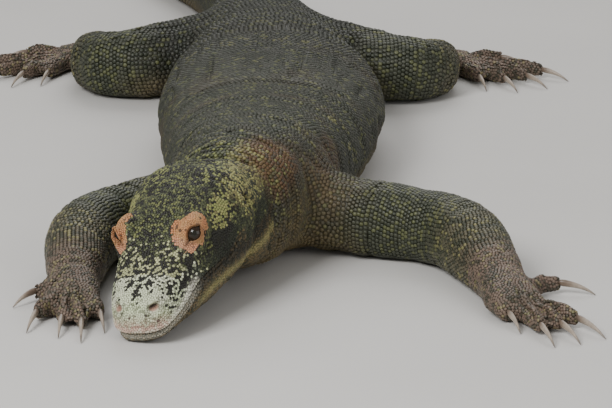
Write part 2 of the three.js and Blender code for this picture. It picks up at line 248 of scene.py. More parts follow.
def point_at(at, lengths, path):
    """The points of a path at some distances along it."""
    return np.stack([np.interp(at, lengths, path[:, k]) for k in range(3)], -1)


def bump(distance, width):
    """A bell of height 1."""
    return np.exp(-((distance / width) ** 2))


def step(value, start, end):
    """A smooth rise from 0 at start to 1 at end."""
    t = np.clip((value - start) / (end - start), 0, 1)
    return t * t * (3 - 2 * t)


# ---------- the skin's base: the solids of the flesh, fused and smoothed ----------
VOXEL = 4.8 * MM
COAT_DEPTH = 1.2 * MM  # the skin lies this far inside the solids
SMOOTH_ROUNDS = 110
SMOOTH_MOST = 0.9  # of the way to the neighbours' mean in one round
BLEND_STRENGTH = 0.8  # of the smoothing that blends the reach from part to part
BLEND_ROUNDS = 12
SMOOTH_REACH = {  # how far the facets are smoothed in each kind of part, in millimetres
    "head": 6, "lower_jaw": 6, "neck": 26, "chest": 26, "hand": 3.2, "foot": 3.2,
    "upper_arm": 14, "forearm": 12, "thigh": 16, "shank": 12,
}
TRUNK_REACH = 28
COARSE_KINDS = ["belly", "pelvis", "tail_base", "tail_middle", "tail_rear", "tail_tip", "thigh", "shank"]
KEPT_SHARE = 0.52  # of the faces, when the coarse kinds are thinned


def kind_of(node):
    return node.replace("_left", "").replace("_right", "")


def fused_flesh():
    """One closed mesh round flesh and eyeballs, a tree of their faces, and each face's part."""
    points, faces, owners = joined_arrays(FLESH + EYES)
    owners = np.where(owners < len(FLESH), owners, FLESH.index("head"))
    counts = [len(face) for face in faces]
    loops = [corner for face in faces for corner in face]
    rough = make_object("rough_flesh", points, loops, counts)
    remesh = rough.modifiers.new("fuse", "REMESH")
    remesh.mode = "VOXEL"
    remesh.voxel_size = VOXEL
    mesh = applied(rough)
    bpy.data.objects.remove(rough)
    tree = BVHTree.FromPolygons([tuple(p) for p in points], faces)
    return mesh, tree, owners


def nearest_parts(points, tree, owners):
    """The number in FLESH of the node nearest to each point."""
    return np.array([owners[tree.find_nearest(Vector(p))[2]] for p in points])


def smooth_strengths(parts, edges):
    """How strongly each point is smoothed, blended where the parts meet."""
    reach = np.array([SMOOTH_REACH.get(kind_of(name), TRUNK_REACH) for name in FLESH], float)
    wanted = smoothed(reach[parts], edges, BLEND_STRENGTH, BLEND_ROUNDS)
    strength = 2 * (wanted * MM / VOXEL) ** 2 / SMOOTH_ROUNDS
    return np.clip(strength, 0, SMOOTH_MOST)


def refined(mesh, chosen):
    """Splits the edges whose two ends are both chosen, and makes quads of them where it can."""
    work = bmesh.new()
    work.from_mesh(mesh)
    edges = [e for e in work.edges if chosen[e.verts[0].index] and chosen[e.verts[1].index]]
    bmesh.ops.subdivide_edges(work, edges=edges, cuts=1, use_grid_fill=True)
    work.to_mesh(mesh)
    work.free()
    return points_of(mesh)


def thinned(mesh, chosen, share):
    """The mesh with fewer faces where it is chosen: share of all its faces stays."""
    whole = placed("whole", mesh)
    group = whole.vertex_groups.new(name="coarse")
    group.add([int(i) for i in np.flatnonzero(chosen)], 1.0, "REPLACE")
    thin = whole.modifiers.new("thin", "DECIMATE")
    thin.ratio = share
    thin.vertex_group = "coarse"
    made = applied(whole)
    bpy.data.objects.remove(whole)
    return made


def is_kind(parts, kinds):
    """Which points belong to nodes of these kinds."""
    wanted = np.array([kind_of(name) in kinds for name in FLESH])
    return wanted[parts]


mesh, tree, owners = fused_flesh()
points = points_of(mesh)
edges = edges_of(mesh)
parts = nearest_parts(points, tree, owners)
points = kept_smooth(points, edges, smooth_strengths(parts, edges), SMOOTH_ROUNDS)
set_points(mesh, points)
mesh = thinned(mesh, is_kind(parts, COARSE_KINDS), KEPT_SHARE)
points = points_of(mesh)

# ---------- the head's forms, in its own frame and in millimetres, the same on both sides ----------
BROW_MIDDLE = np.array([38.0, 116.0, 40.0])
BROW_SIZE = np.array([14.4, 29.0, 20.2])
BROW_SOFT = 0.11  # how softly the bulge runs into the head
BROW_FOOT = 1.9  # the brow level where it ends
EYE_MIDDLE = np.array(EYE) / MM
EYE_REACH = 27
EYE_SIDE = 65  # how many degrees round the eye from the way it looks the finest faces reach
LOOK = np.array([0.36, -0.72, 0.59])  # the way that the lids open
LID_RISE = 2.6  # how far the lids lie over the eyeball, with the coat's depth
LID_FOLDS = (  # round the eye: (lid level, depth, width)
    (1.62, 0.7, 0.1), (2.0, 0.6, 0.1), (2.45, 0.6, 0.12), (2.95, 0.5, 0.14),
)
EYE_PIT = 3.2  # how far the skin lies inside the eyeball in its opening
SLIT_LONG = 9.4
SLIT_HALF = 5.9
RIGHT_SLIT_HALF = 1.9  # the right eye is nearly shut
NOSTRIL = np.array([20.5, 13.5, 28.0])
NOSTRIL_LOOK = np.array([0.5, -0.7, 0.5])
NOSTRIL_SLIT = np.array([0.77, 0.64, 0.086])
NOSTRIL_REACH = 17
NOSTRIL_DEPTH = 6.4
NOSTRIL_LONG = 6.4
RING_SHIFT = 3.6  # the ring folds lie round a point below the slit
NOSTRIL_RINGS = (  # (distance from that point, rise, width)
    (9.3, 1.1, 1.4), (11.6, -0.8, 0.9), (13.6, 0.7, 1.1), (15.6, -0.5, 0.8),
)
EAR = np.array([70.0, 203.0, 16.0])
MOUTH_Y = [-24, 12, 34, 58, 80, 103, 145, 176]
MOUTH_Z = [-1, 0, 2.5, 7, 8, 3, -6, 1]
MOUTH_END = 176
JOWL_X = 85  # the mouth's forms end before this
LIP_GROOVE = ((-0.2, -2.4, 0.95),)  # (height above the mouth line, rise, width)
UPPER_LIP = ((3.2, 1.1, 2.4), (8.4, -0.6, 1.2))
LOWER_LIP = ((-3.4, -1.3, 2.0), (-6.6, 0.5, 1.6), (-9.6, -0.5, 1.1))
LIP_REACH = 8
LIP_SIDE = 80
LIP_FRONT = -20


def unit(vector):
    return vector / np.linalg.norm(vector)


LOOK = unit(LOOK)
back = np.array([0.0, 1.0, 0.0])
lid_back = unit(back - LOOK * (back @ LOOK))
lid_up = np.cross(LOOK, lid_back)
SLIT_TURN = -0.2
slit_along = unit(lid_back + SLIT_TURN * lid_up)
slit_across = unit(lid_up - SLIT_TURN * lid_back)
PATCH_TURN = 0.15
patch_along = unit(lid_back + PATCH_TURN * lid_up)
patch_across = unit(lid_up - PATCH_TURN * lid_back)
NOSTRIL_LOOK = unit(NOSTRIL_LOOK)
nostril_along = unit(NOSTRIL_SLIT - NOSTRIL_LOOK * (NOSTRIL_SLIT @ NOSTRIL_LOOK))
nostril_across = np.cross(NOSTRIL_LOOK, nostril_along)


def mirrored(q):
    """Points of the head with the right side turned onto the left."""
    return np.stack([np.abs(q[:, 0]), q[:, 1], q[:, 2]], 1)


def brow_level(m):
    """1 on the surface of the bulge that holds the eye, less inside it."""
    return lengths_of((m - BROW_MIDDLE) / BROW_SIZE)


def lid_level(m, right):
    """The lid level (1 on the rim, less in the opening), the degrees from LOOK, and the distance.

    right tells which points are on the right side, where the lids are nearly shut.
    """
    half = np.where(right, RIGHT_SLIT_HALF, SLIT_HALF)
    v = m - EYE_MIDDLE
    reach = lengths_of(v)
    scale = EYE_RADIUS / MM / np.maximum(reach, 0.1)
    along = v @ slit_along * scale
    across = v @ slit_across * scale
    away = np.degrees(np.arccos(np.clip(v @ LOOK / np.maximum(reach, 0.1), -1, 1)))
    return (along / SLIT_LONG) ** 2 + np.abs(across) / half, away, reach


def mouth_height(m):
    """Height above the mouth line."""
    return m[:, 2] - np.interp(m[:, 1], MOUTH_Y, MOUTH_Z)


def near_nostril(m, reach):
    """Which points lie that close to the nostril."""
    return lengths_of(m - NOSTRIL) < reach


DETAILED = ["head", "lower_jaw", "hand"]
DETAIL_STRENGTH = 0.5
DETAIL_ROUNDS = 12

parts = nearest_parts(points, tree, owners)
points = refined(mesh, is_kind(parts, DETAILED))
m = mirrored(to_head(points))
eye_zone = lengths_of(m - EYE_MIDDLE) < EYE_REACH
lip_zone = (np.abs(mouth_height(m)) < LIP_REACH) & (m[:, 1] < MOUTH_END + LIP_REACH)
lip_zone &= (m[:, 0] < LIP_SIDE) & (m[:, 1] > LIP_FRONT)
points = refined(mesh, eye_zone | near_nostril(m, NOSTRIL_REACH) | lip_zone)
m = mirrored(to_head(points))
_, away, reach = lid_level(m, False)
points = refined(mesh, (reach < EYE_REACH) & (away < EYE_SIDE) | near_nostril(m, NOSTRIL_REACH - 4))
edges = edges_of(mesh)
parts = nearest_parts(points, tree, owners)
points = kept_smooth(points, edges, DETAIL_STRENGTH * is_kind(parts, DETAILED), DETAIL_ROUNDS)


def ripples(value, forms):
    """Ridges and grooves across a measure, from each one's place, rise and width."""
    return sum(rise * bump(value - place, width) for place, rise, width in forms)


def shape_brow(m):
    """The bulge over the eye stands out of the head with a soft foot."""
    level = np.maximum(brow_level(m), 0.05)
    wanted = level + BROW_SOFT * np.log1p(np.exp(np.clip((1 - level) / BROW_SOFT, -40, 40)))
    near = level < BROW_FOOT
    grown = BROW_MIDDLE + (m - BROW_MIDDLE) * (wanted / level)[:, None]
    return np.where(near[:, None], grown, m)


def shape_eye(m, right):
    """Lids over the eyeball with an opening, a raised rim, and folds whose places are lid levels."""
    lid, away, reach = lid_level(m, right)
    near = (reach < EYE_REACH + 6) & (away < 85)
    radius = EYE_RADIUS / MM
    lid_radius = radius + LID_RISE
    lid_radius = lid_radius + 0.7 * bump(lid - 1.22, 0.2)
    uneven = 1 + 0.5 * noise(m, 9, 31)
    for place, depth, width in LID_FOLDS:
        lid_radius = lid_radius - depth * uneven * bump(lid - place, width)
    lid_radius = lid_radius + 0.25 * noise(m, 2.2, 37)
    wanted = lid_radius + (reach - lid_radius) * step(away, 42, 72)
    wanted = wanted + (radius - EYE_PIT - wanted) * (1 - step(lid, 0.9, 1.12)) * (away < 75)
    moved = EYE_MIDDLE + (m - EYE_MIDDLE) * (wanted / np.maximum(reach, 0.1))[:, None]
    return np.where(near[:, None], moved, m)


def shape_nostril(m, n):
    """A slit with a sloping lower wall, and curved folds round its lower side."""
    v = m - NOSTRIL
    along = v @ nostril_along
    across = v @ nostril_across
    away = v @ NOSTRIL_LOOK
    near = np.exp(-((away / 12) ** 4))
    wall = np.where(across > 0, bump(across, 1.4), bump(across, 3.3))
    depth = NOSTRIL_DEPTH * np.exp(-((along / NOSTRIL_LONG) ** 4)) * wall
    rise = ripples(np.hypot(along, across + RING_SHIFT), NOSTRIL_RINGS)
    lower = 0.35 + 0.65 * step(-across, -2, 6)
    return m + n * ((rise * lower - depth) * near)[:, None]


def shape_mouth(m, n):
    """The groove between the lips, with the upper lip over the lower one."""
    height = mouth_height(m)
    there = 1 - step(m[:, 1], MOUTH_END - 26, MOUTH_END)
    there = there * (m[:, 0] < JOWL_X) * (np.abs(height) < 2 * LIP_REACH)
    rise = ripples(height, LIP_GROOVE) + ripples(height, UPPER_LIP) + ripples(height, LOWER_LIP)
    return m + n * (rise * there)[:, None]


def shape_face(m, n):
    """Ridges, hollows and creases, the temples and the ear.

    Each form is its rise in millimetres times a bell or a step round each of its places.
    """
    x, y, z = m.T
    top = step(n[:, 2], 0.1, 0.5)
    ridge_x = np.interp(y, [10, 26, 60, 95], [15, 22, 30, 36])
    ridge = 1.2 * bump(x - ridge_x, 5) * step(z, 18, 26)
    side_hollow = -1.6 * bump(z - 18, 8) * bump(y - 62, 26) * step(x, 28, 38)
    forehead = -2.2 * bump(x, 15) * bump(y - 100, 34) * top
    muzzle = -1.0 * bump(x, 2.6) * step(y, 8, 18) * (1 - step(y, 46, 60)) * top
    front = -0.9 * bump(x, 2.2) * (1 - step(y, 8, 14)) * (z > 4)
    below_brow = step(BROW_MIDDLE[2] + 6 - z, 0, 14)
    brow_crease = -1.3 * bump(brow_level(m) - 1.24, 0.09) * below_brow
    along_length = ridge * (y < 105) * (y > 4)
    orbit_rear = -1.8 * bump(x - 50, 14) * bump(y - 150, 9) * bump(z - 30, 22)
    temple = 1.0 * bump(y - 178, 22) * bump(z - 20, 26) * step(x, 30, 50)
    jaw_crease = -1.6 * bump(y - 182, 3.2) * bump(z + 12, 26) * step(x, 30, 50)
    ear_away = (m - EAR) / np.array([12, 4.6, 8.0])
    ear = -5.5 * np.exp(-np.sum(ear_away ** 2, axis=1) ** 1.5)
    ear_fold = 1.5 * bump(y - 196.5, 2.6) * bump(z - 16, 13) * step(x, 40, 55)
    rise = along_length + side_hollow + forehead + muzzle + front + brow_crease + orbit_rear
    rise = rise + temple + jaw_crease + ear + ear_fold
    rise = rise + 0.35 * rough_noise(m, 14, 5)
    return m + n * (rise * (y < 240) * (x < 90) * (np.abs(z) < 90))[:, None]


def head_normals(mesh):
    """Normals of the points in the head's frame, with the right side turned onto the left."""
    n = normals_of(mesh) @ HEAD_AXES
    return np.where(to_head(points_of(mesh))[:, :1] < 0, n * [-1, 1, 1], n)


def sculpt_head(mesh, points):
    """The points with all the forms of the head."""
    q = to_head(points)
    sides = np.where(q[:, :1] < 0, -1.0, 1.0)
    m = shape_brow(mirrored(q))
    set_points(mesh, from_head(m * np.hstack([sides, np.ones((len(m), 2))])))
    n = head_normals(mesh)
    m = shape_face(m, n)
    m = shape_mouth(m, n)
    m = shape_nostril(m, n)
    m = shape_eye(m, q[:, 0] < 0)
    return from_head(m * np.hstack([sides, np.ones((len(m), 2))]))


set_points(mesh, points)
points = sculpt_head(mesh, points)

# ---------- joints and axes of the body ----------
def joint_place(a, b):
    """The middle of the cut between two neighbouring nodes."""
    first = points_of(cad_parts[a].data)
    second = points_of(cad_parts[b].data)
    CLOSE = 2 * MM
    near = [np.min(np.sum((second - p) ** 2, axis=1)) < CLOSE ** 2 for p in first]
    face = first[np.array(near)]
    return (face.min(axis=0) + face.max(axis=0)) / 2


def tip_place(a, b):
    """The point of node a that lies farthest from node b."""
    first = points_of(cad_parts[a].data)
    away = lengths_of(first - centre(b))
    return first[np.argmax(away)]


def even_path(places, gap, soft):
    """Points a gap apart along a path through the places, rounded off over the soft length."""
    places = np.array(places)
    lengths = travelled(places)
    FINE = 2 * MM
    path = point_at(np.arange(0, lengths[-1], FINE), lengths, places)
    reach = max(1, int(soft / FINE / 2))
    padded = np.concatenate([np.repeat(path[:1], reach, 0), path, np.repeat(path[-1:], reach, 0)])
    sums = np.cumsum(np.concatenate([np.zeros((1, 3)), padded]), axis=0)
    path = (sums[2 * reach:] - sums[:-2 * reach])[: len(path)] / (2 * reach)
    lengths = travelled(path)
    return point_at(np.arange(0, lengths[-1], gap), lengths, path)


TRUNK = ["neck", "chest", "belly", "pelvis", "tail_base", "tail_middle", "tail_rear", "tail_tip"]
trunk_joints = [joint_place("head", "neck")] + [joint_place(a, b) for a, b in zip(TRUNK, TRUNK[1:])]
trunk_joints.append(tip_place("tail_tip", "tail_rear"))
LIMB_CHAINS = {
    "arm": ["chest", "upper_arm", "forearm", "hand"],
    "leg": ["pelvis", "thigh", "shank", "foot"],
}
limb_joints = {}
for side in ("left", "right"):
    for limb, (trunk_node, *chain) in LIMB_CHAINS.items():
        nodes = [trunk_node] + [f"{part}_{side}" for part in chain]
        limb_joints[f"{limb}_{side}"] = [joint_place(a, b) for a, b in zip(nodes, nodes[1:])]


# ---------- folds of the skin at the joints and on the neck ----------
def folded(points, n, place, along, reach, size, depth, seed):
    """Creases across a direction, strongest at a place."""
    along = unit(along)
    STRETCH = 0.22
    v = points - place
    inline = (v @ along)[:, None] * along
    squeezed = (inline + (v - inline) * STRETCH) / size
    crease = (1 - np.abs(noise(squeezed, 1, seed))) ** 5
    weight = np.exp(-np.sum(v ** 2, axis=1) / reach ** 2)
    return points - n * (depth * crease * weight)[:, None]


def claw_base(kind, side, number):
    """Where a claw leaves its finger."""
    claw = points_of(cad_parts[f"claw_{kind}_{side}_{number}"].data)
    away = lengths_of(claw - centre(f"{kind}_{side}"))
    return claw[np.argsort(away)[:4]].mean(axis=0)


GROOVE_DEPTH = 6.5 * MM
GROOVE_WIDTH = {"hand": 3.0 * MM, "foot": 3.6 * MM}
GROOVE_START = 0.12  # as shares of the way from the palm to the claws
GROOVE_FULL = 0.75
GROOVE_END = 1.3
PALM_SHARE = 0.6  # of the way from the wrist to the middle of the hand
HAND_LENGTH = 150 * MM
SOLE = 3 * MM  # the part that lies on the floor has no grooves


def parted_fingers(points, n):
    """Grooves between neighbouring fingers and toes, running up into the palm."""
    upward = step(n[:, 2], 0.05, 0.5)
    for kind, side in (("hand", "left"), ("hand", "right"), ("foot", "left"), ("foot", "right")):
        wrist = limb_joints[f"{'arm' if kind == 'hand' else 'leg'}_{side}"][2]
        palm = wrist + (centre(f"{kind}_{side}") - wrist) * PALM_SHARE
        for number in range(1, 5):
            ends = (claw_base(kind, side, number) + claw_base(kind, side, number + 1)) / 2
            way = (ends - palm) * [1, 1, 0]
            v = (points - palm) * [1, 1, 0]
            share = v @ way / (way @ way)
            beside = lengths_of(v - share[:, None] * way)
            here = (share > 0) & (share < GROOVE_END) & (lengths_of(v) < HAND_LENGTH)
            depth = GROOVE_DEPTH * step(share, GROOVE_START, GROOVE_FULL)
            depth = depth * bump(beside, GROOVE_WIDTH[kind]) * here * upward
            points = points - n * (depth * (points[:, 2] > SOLE))[:, None]
    return points


FLANK_CREASE = {"height": 38 * MM, "wander": 10 * MM, "depth": 5 * MM, "width": 13 * MM}
CREASE_END = 95 * MM


def flank_creases(points, n):
    """A long soft crease on each flank, from arm to leg, where the resting belly spreads."""
    there = is_kind(parts, ["chest", "belly", "pelvis"]) * step(1 - np.abs(n[:, 2]), 0.3, 0.8)
    for joints in limb_joints.values():
        there = there * (1 - bump(lengths_of(points - joints[0]), CREASE_END))
    level = points[:, 2] - FLANK_CREASE["height"] - FLANK_CREASE["wander"] * noise(points, 240 * MM, 81)
    return points - n * (FLANK_CREASE["depth"] * bump(level, FLANK_CREASE["width"]) * there)[:, None]


LIMB_FOLDS = (  # at root, elbow and wrist: (reach, size, depth) in millimetres
    (85, 17, 5.2), (60, 12, 3.4), (42, 8, 2.2),
)
NECK_FOLDS = (  # (share of the way to the shoulders, reach, size, depth, seed)
    (0.1, 95, 15, 5.0, 71), (1.4, 130, 24, 5.6, 73),
)
FLANK_FOLDS = (330 * MM, 34 * MM, 5.0 * MM, 77)  # reach, size, depth and seed


def sculpt_folds(points, n):
    """The points with the grooves, creases and folds of the body."""
    points = parted_fingers(points, n)
    points = flank_creases(points, n)
    for name, joints in limb_joints.items():
        root, elbow, wrist = joints
        first_seed = 50 + len(name) + int(1000 * abs(root[0]))
        ways = (elbow - root, wrist - root, wrist - elbow)
        for number, (reach, size, depth) in enumerate(LIMB_FOLDS):
            sizes = (reach * MM, size * MM, depth * MM)
            points = folded(points, n, joints[number], ways[number], *sizes, first_seed + number)
    neck, shoulders = trunk_joints[0], trunk_joints[1]
    along = shoulders - neck
    for share, reach, size, depth, seed in NECK_FOLDS:
        points = folded(points, n, neck + share * along, along, reach * MM, size * MM, depth * MM, seed)
    flank_way = trunk_joints[3] - trunk_joints[2]
    return folded(points, n, centre("belly"), flank_way, *FLANK_FOLDS)


set_points(mesh, points)
points = sculpt_folds(points, normals_of(mesh))
set_points(mesh, points)
n = normals_of(mesh)
points = points - n * COAT_DEPTH
FLOOR_GAP = 0.2 * MM
CHIN_DROP = 2.4 * MM  # the jaw's solid ends above the floor, and the skin is let down to rest on it
CHIN_LOW = 4 * MM
CHIN_HIGH = 15 * MM
on_jaw = is_kind(parts, ["lower_jaw", "head"])
points[:, 2] -= CHIN_DROP * on_jaw * (1 - step(points[:, 2], CHIN_LOW, CHIN_HIGH))
points[:, 2] = np.maximum(points[:, 2], FLOOR_GAP)
set_points(mesh, points)
shade_smooth(mesh)
skin = placed("skin", mesh)
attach(skin, BODY)
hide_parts(*FLESH)

# ---------- runs: the axes that the rows of scales follow ----------
AXIS_GAP = 8 * MM
HEAD_AXIS_BACK = 262
HEAD_AXIS_UP = 2
ROUNDING = {"trunk": 90 * MM, "head": 10 * MM, "limb": 50 * MM, "digit": 4 * MM}
REACH_IN = 0.25  # how far a limb's axis starts inside the body, as a share of its upper part
DIGIT_START = 0.5  # where a finger's axis starts on the way from the wrist to the palm's middle
runs = {"trunk": even_path(trunk_joints, AXIS_GAP, ROUNDING["trunk"])}
head_axis = np.array([[0.0, y, HEAD_AXIS_UP] for y in (0, HEAD_AXIS_BACK)])
runs["head"] = even_path(from_head(head_axis), AXIS_GAP, ROUNDING["head"])
for name, joints in limb_joints.items():
    limb, side = name.split("_")
    end_node = "hand" if limb == "arm" else "foot"
    palm = centre(f"{end_node}_{side}")
    inside = joints[0] - (joints[1] - joints[0]) * REACH_IN
    runs[name] = even_path([inside] + joints[1:] + [palm], AXIS_GAP, ROUNDING["limb"])
    for number in range(1, 6):
        claw = centre(f"claw_{end_node}_{side}_{number}")
        start = joints[2] + (palm - joints[2]) * DIGIT_START
        digit = even_path([start, claw], AXIS_GAP, ROUNDING["digit"])
        runs[f"digit_{end_node}_{side}_{number}"] = digit


def runs_of(node):
    """The runs that a node's scales may follow."""
    kind = kind_of(node)
    side = node.rsplit("_", 1)[-1]
    if kind in ("head", "lower_jaw"):
        return ["head"]
    if kind in ("upper_arm", "forearm"):
        return [f"arm_{side}"]
    if kind in ("thigh", "shank"):
        return [f"leg_{side}"]
    if kind in ("hand", "foot"):
        limb = "arm" if kind == "hand" else "leg"
        return [f"{limb}_{side}"] + [f"digit_{node}_{number}" for number in range(1, 6)]
    return ["trunk"]


def along_run(points, name):
    """Distance along a run, the angle round it, its direction, and how far each point is from it."""
    path = runs[name]
    tangents = np.gradient(path, axis=0)
    tangents /= lengths_of(tangents)[:, None]
    nearest = np.empty(len(points), int)
    CHUNK = 4000
    for start in range(0, len(points), CHUNK):
        some = points[start:start + CHUNK]
        nearest[start:start + CHUNK] = np.argmin(((some[:, None] - path) ** 2).sum(axis=2), axis=1)
    direction = tangents[nearest]
    v = points - path[nearest]
    inline = (v * direction).sum(axis=1)
    side = np.cross(direction, [0, 0, 1])
    side /= lengths_of(side)[:, None]
    up = np.cross(side, direction)
    angle = np.arctan2((v * up).sum(axis=1), (v * side).sum(axis=1))
    return nearest * AXIS_GAP + inline, angle, direction, lengths_of(v)


def lie_of(points, parts):
    """The way the scales lie, and each point's distance and angle on its own run."""
    way = np.zeros((len(points), 3))
    distance = np.zeros(len(points))
    turn = np.zeros(len(points))
    for number, node in enumerate(FLESH):
        here = np.flatnonzero(parts == number)
        best = np.full(len(here), np.inf)
        for name in runs_of(node):
            at, angle, direction, away = along_run(points[here], name)
            closer = away < best
            way[here[closer]] = direction[closer]
            distance[here[closer]] = at[closer]
            turn[here[closer]] = angle[closer]
            best = np.minimum(best, away)
    return way, distance, turn


# ---------- places for the scales ----------
PITCH = {  # from one scale to the next in each kind of part, in millimetres
    "head": 3.0, "lower_jaw": 3.3, "neck": 4.5, "chest": 5.4, "upper_arm": 4.9, "forearm": 4.5,
    "hand": 3.6, "foot": 4.1, "thigh": 5.9, "shank": 5.3, "tail_tip": 5.0, "tail_rear": 5.6,
}
PITCH_ELSEWHERE = 6.2
SNOUT_PITCH = 2.55 * MM
LID_PITCH = 2.2 * MM
LID_SIDE = 62  # degrees round the eye that the lids' scales reach
UNRULED = ["head", "lower_jaw", "hand", "foot"]  # the kinds whose scales lie in no rows
UNRULED_ELSEWHERE = 0.7  # how many random places the other kinds get, beside these
CLEAR = 0.74  # the least distance between scales, as a share of the pitch
ROWS_CLEAR = 0.66  # and between scales in rows
ROW = 0.87  # from row to row as a share of the pitch
RAYS = 200
skin_tree = BVHTree.FromObject(skin, bpy.context.evaluated_depsgraph_get())
mesh_faces = [tuple(face.vertices) for face in mesh.polygons]


def pitch_of(node):
    return PITCH.get(kind_of(node), PITCH_ELSEWHERE) * MM


def ring(start, along, pitch, shift):
    """Evenly spaced places round the skin in the plane across an axis."""
    side = unit(np.cross(along, [0, 0, 1]))
    up = np.cross(side, along)
    angles = np.linspace(-math.pi / 2, 1.5 * math.pi, RAYS, endpoint=False)
    ways = np.cos(angles)[:, None] * side + np.sin(angles)[:, None] * up
    hits = [skin_tree.ray_cast(Vector(start), Vector(way))[0] for way in ways]
    hits = np.array([hit for hit in hits if hit is not None])
    if len(hits) < RAYS // 2:
        return np.empty((0, 3))
    closed = np.concatenate([hits, hits[:1]])
    lengths = travelled(closed)
    count = max(6, round(lengths[-1] / pitch))
    return point_at((np.arange(count) + shift) * lengths[-1] / count, lengths, closed)


def rows_on(name, pitch_at):
    """The rows of places along one run, where pitch_at gives the pitch at a distance along it."""
    path = runs[name]
    tangents = np.gradient(path, axis=0)
    lengths = np.arange(len(path)) * AXIS_GAP
    found = []
    at = 0.0
    number = 0
    while at < lengths[-1]:
        pitch = pitch_at(at)
        along = unit(point_at(at, lengths, tangents))
        found.append(ring(point_at(at, lengths, path), along, pitch, 0.5 * (number % 2)))
        at += pitch * ROW
        number += 1
    return np.concatenate(found)


def trunk_pitch(at):
    """The pitch along the trunk and tail, changing from node to node."""
    ends = np.cumsum([np.linalg.norm(b - a) for a, b in zip(trunk_joints, trunk_joints[1:])])
    middles = ends - np.diff(np.concatenate(([0], ends))) / 2
    return np.interp(at, middles, [pitch_of(node) for node in TRUNK])


def limb_pitch(name):
    """The pitch along a limb, as a function of the distance."""
    chain = LIMB_CHAINS[name.split("_")[0]][1:]
    joints = limb_joints[name]
    ends = np.cumsum([np.linalg.norm(b - a) for a, b in zip(joints, joints[1:])])
    return lambda at: np.interp(at, [0.5 * ends[0], ends[1]], [pitch_of(chain[0]), pitch_of(chain[1])])


def own_parts(points):
    return nearest_parts(points, tree, owners)


def row_places():
    """Places in rows on trunk, tail and limbs, kept only where the run's own flesh is."""
    places = rows_on("trunk", trunk_pitch)
    keep = is_kind(own_parts(places), TRUNK)
    kept = [places[keep]]
    for name in limb_joints:
        places = rows_on(name, limb_pitch(name))
        parts = own_parts(places)
        limb, side = name.split("_")
        wanted = [FLESH.index(f"{part}_{side}") for part in LIMB_CHAINS[limb][1:3]]
        kept.append(places[np.isin(parts, wanted)])
    return np.concatenate(kept)


def scattered(count, seed):
    """Random places all over the skin, closest where the scales are small and lie in no rows."""
    random = np.random.default_rng(seed)
    corners = points_of(mesh)
    corner_parts = own_parts(corners)
    unruled = np.where(is_kind(corner_parts, UNRULED), 1.0, UNRULED_ELSEWHERE)
    weight = unruled / pitch_at(corners, corner_parts) ** 2
    mesh.calc_loop_triangles()
    triangles = read(mesh.loop_triangles, "vertices", 3, np.int32)
    a, b, c = (corners[triangles[:, k]] for k in range(3))
    share = lengths_of(np.cross(b - a, c - a)) * weight[triangles].mean(axis=1)
    chosen = random.choice(len(share), count, p=share / share.sum())
    u, v = random.random((2, count))
    over = u + v > 1
    u, v = np.where(over, 1 - u, u), np.where(over, 1 - v, v)
    return a[chosen] + (b - a)[chosen] * u[:, None] + (c - a)[chosen] * v[:, None]


def filled(rows, candidates, row_pitch, candidate_pitch):
    """The rows without crowded places, with candidates wherever there is room for one."""
    cell = 4 * MM
    grid = {}
    kept = []

    def cell_of(p):
        return int(p[0] // cell), int(p[1] // cell), int(p[2] // cell)

    def crowded(p, room):
        reach = int(room / cell) + 1
        i, j, k = cell_of(p)
        for di in range(i - reach, i + reach + 1):
            for dj in range(j - reach, j + reach + 1):
                for dk in range(k - reach, k + reach + 1):
                    for o in grid.get((di, dj, dk), ()):
                        if (o[0] - p[0]) ** 2 + (o[1] - p[1]) ** 2 + (o[2] - p[2]) ** 2 < room * room:
                            return True
        return False

    groups = ((rows, row_pitch, ROWS_CLEAR), (candidates, candidate_pitch, CLEAR))
    for group, (places, pitch, share) in enumerate(groups):
        for p, size in zip(places.tolist(), pitch.tolist()):
            if not crowded(p, size * share):
                kept.append((*p, size, group))
                grid.setdefault(cell_of(p), []).append(p)
    return np.array(kept)


def pitch_at(points, parts):
    """The pitch at each place, finer on the snout and the lids."""
    pitch = np.array([pitch_of(node) for node in FLESH])[parts]
    q = to_head(points)
    m = mirrored(q)
    _, away, reach = lid_level(m, q[:, 0] < 0)
    on_lids = (reach < EYE_REACH) & (away < LID_SIDE)
    pitch = np.where(on_lids, LID_PITCH, pitch)
    on_snout = (m[:, 1] < 48) & (m[:, 0] < 60) & (np.abs(m[:, 2]) < 60)
    return np.where(on_snout & ~on_lids, SNOUT_PITCH, pitch)


def tree_of(places):
    made = KDTree(len(places))
    for number, p in enumerate(places.tolist()):
        made.insert(p, number)
    made.balance()
    return made


def spaced(found, rounds):
    """Moves the places that aren't in rows apart along the skin, until they are about evenly spaced."""
    places, pitch, free = found[:, :3].copy(), found[:, 3], np.flatnonzero(found[:, 4] == 1)
    REACH = 1.3
    PUSH = 0.45
    for _ in range(rounds):
        near = tree_of(places)
        moved = places.copy()
        for number in free.tolist():
            here = places[number]
            size = pitch[number] * REACH
            push = np.zeros(3)
            for other, index, gap in near.find_range(here, size):
                if index != number and gap > 0:
                    push += (here - other) * ((1 - gap / size) / gap)
            moved[number] = skin_tree.find_nearest(Vector(here + push * pitch[number] * PUSH))[0]
        places = moved
    return np.hstack([places, found[:, 3:]])


CANDIDATES = 400000
SPACING_ROUNDS = 7
rows = row_places()
row_pitch = pitch_at(rows, own_parts(rows))
extra = scattered(CANDIDATES, 11)
row_tree = tree_of(rows)
away = np.array([row_tree.find(p)[2] for p in extra.tolist()])
extra = extra[away > CLEAR * LID_PITCH]
away = away[away > CLEAR * LID_PITCH]
extra_pitch = pitch_at(extra, own_parts(extra))
roomy = away > CLEAR * extra_pitch
found = filled(rows, extra[roomy], row_pitch, extra_pitch[roomy])
found = spaced(found, SPACING_ROUNDS)

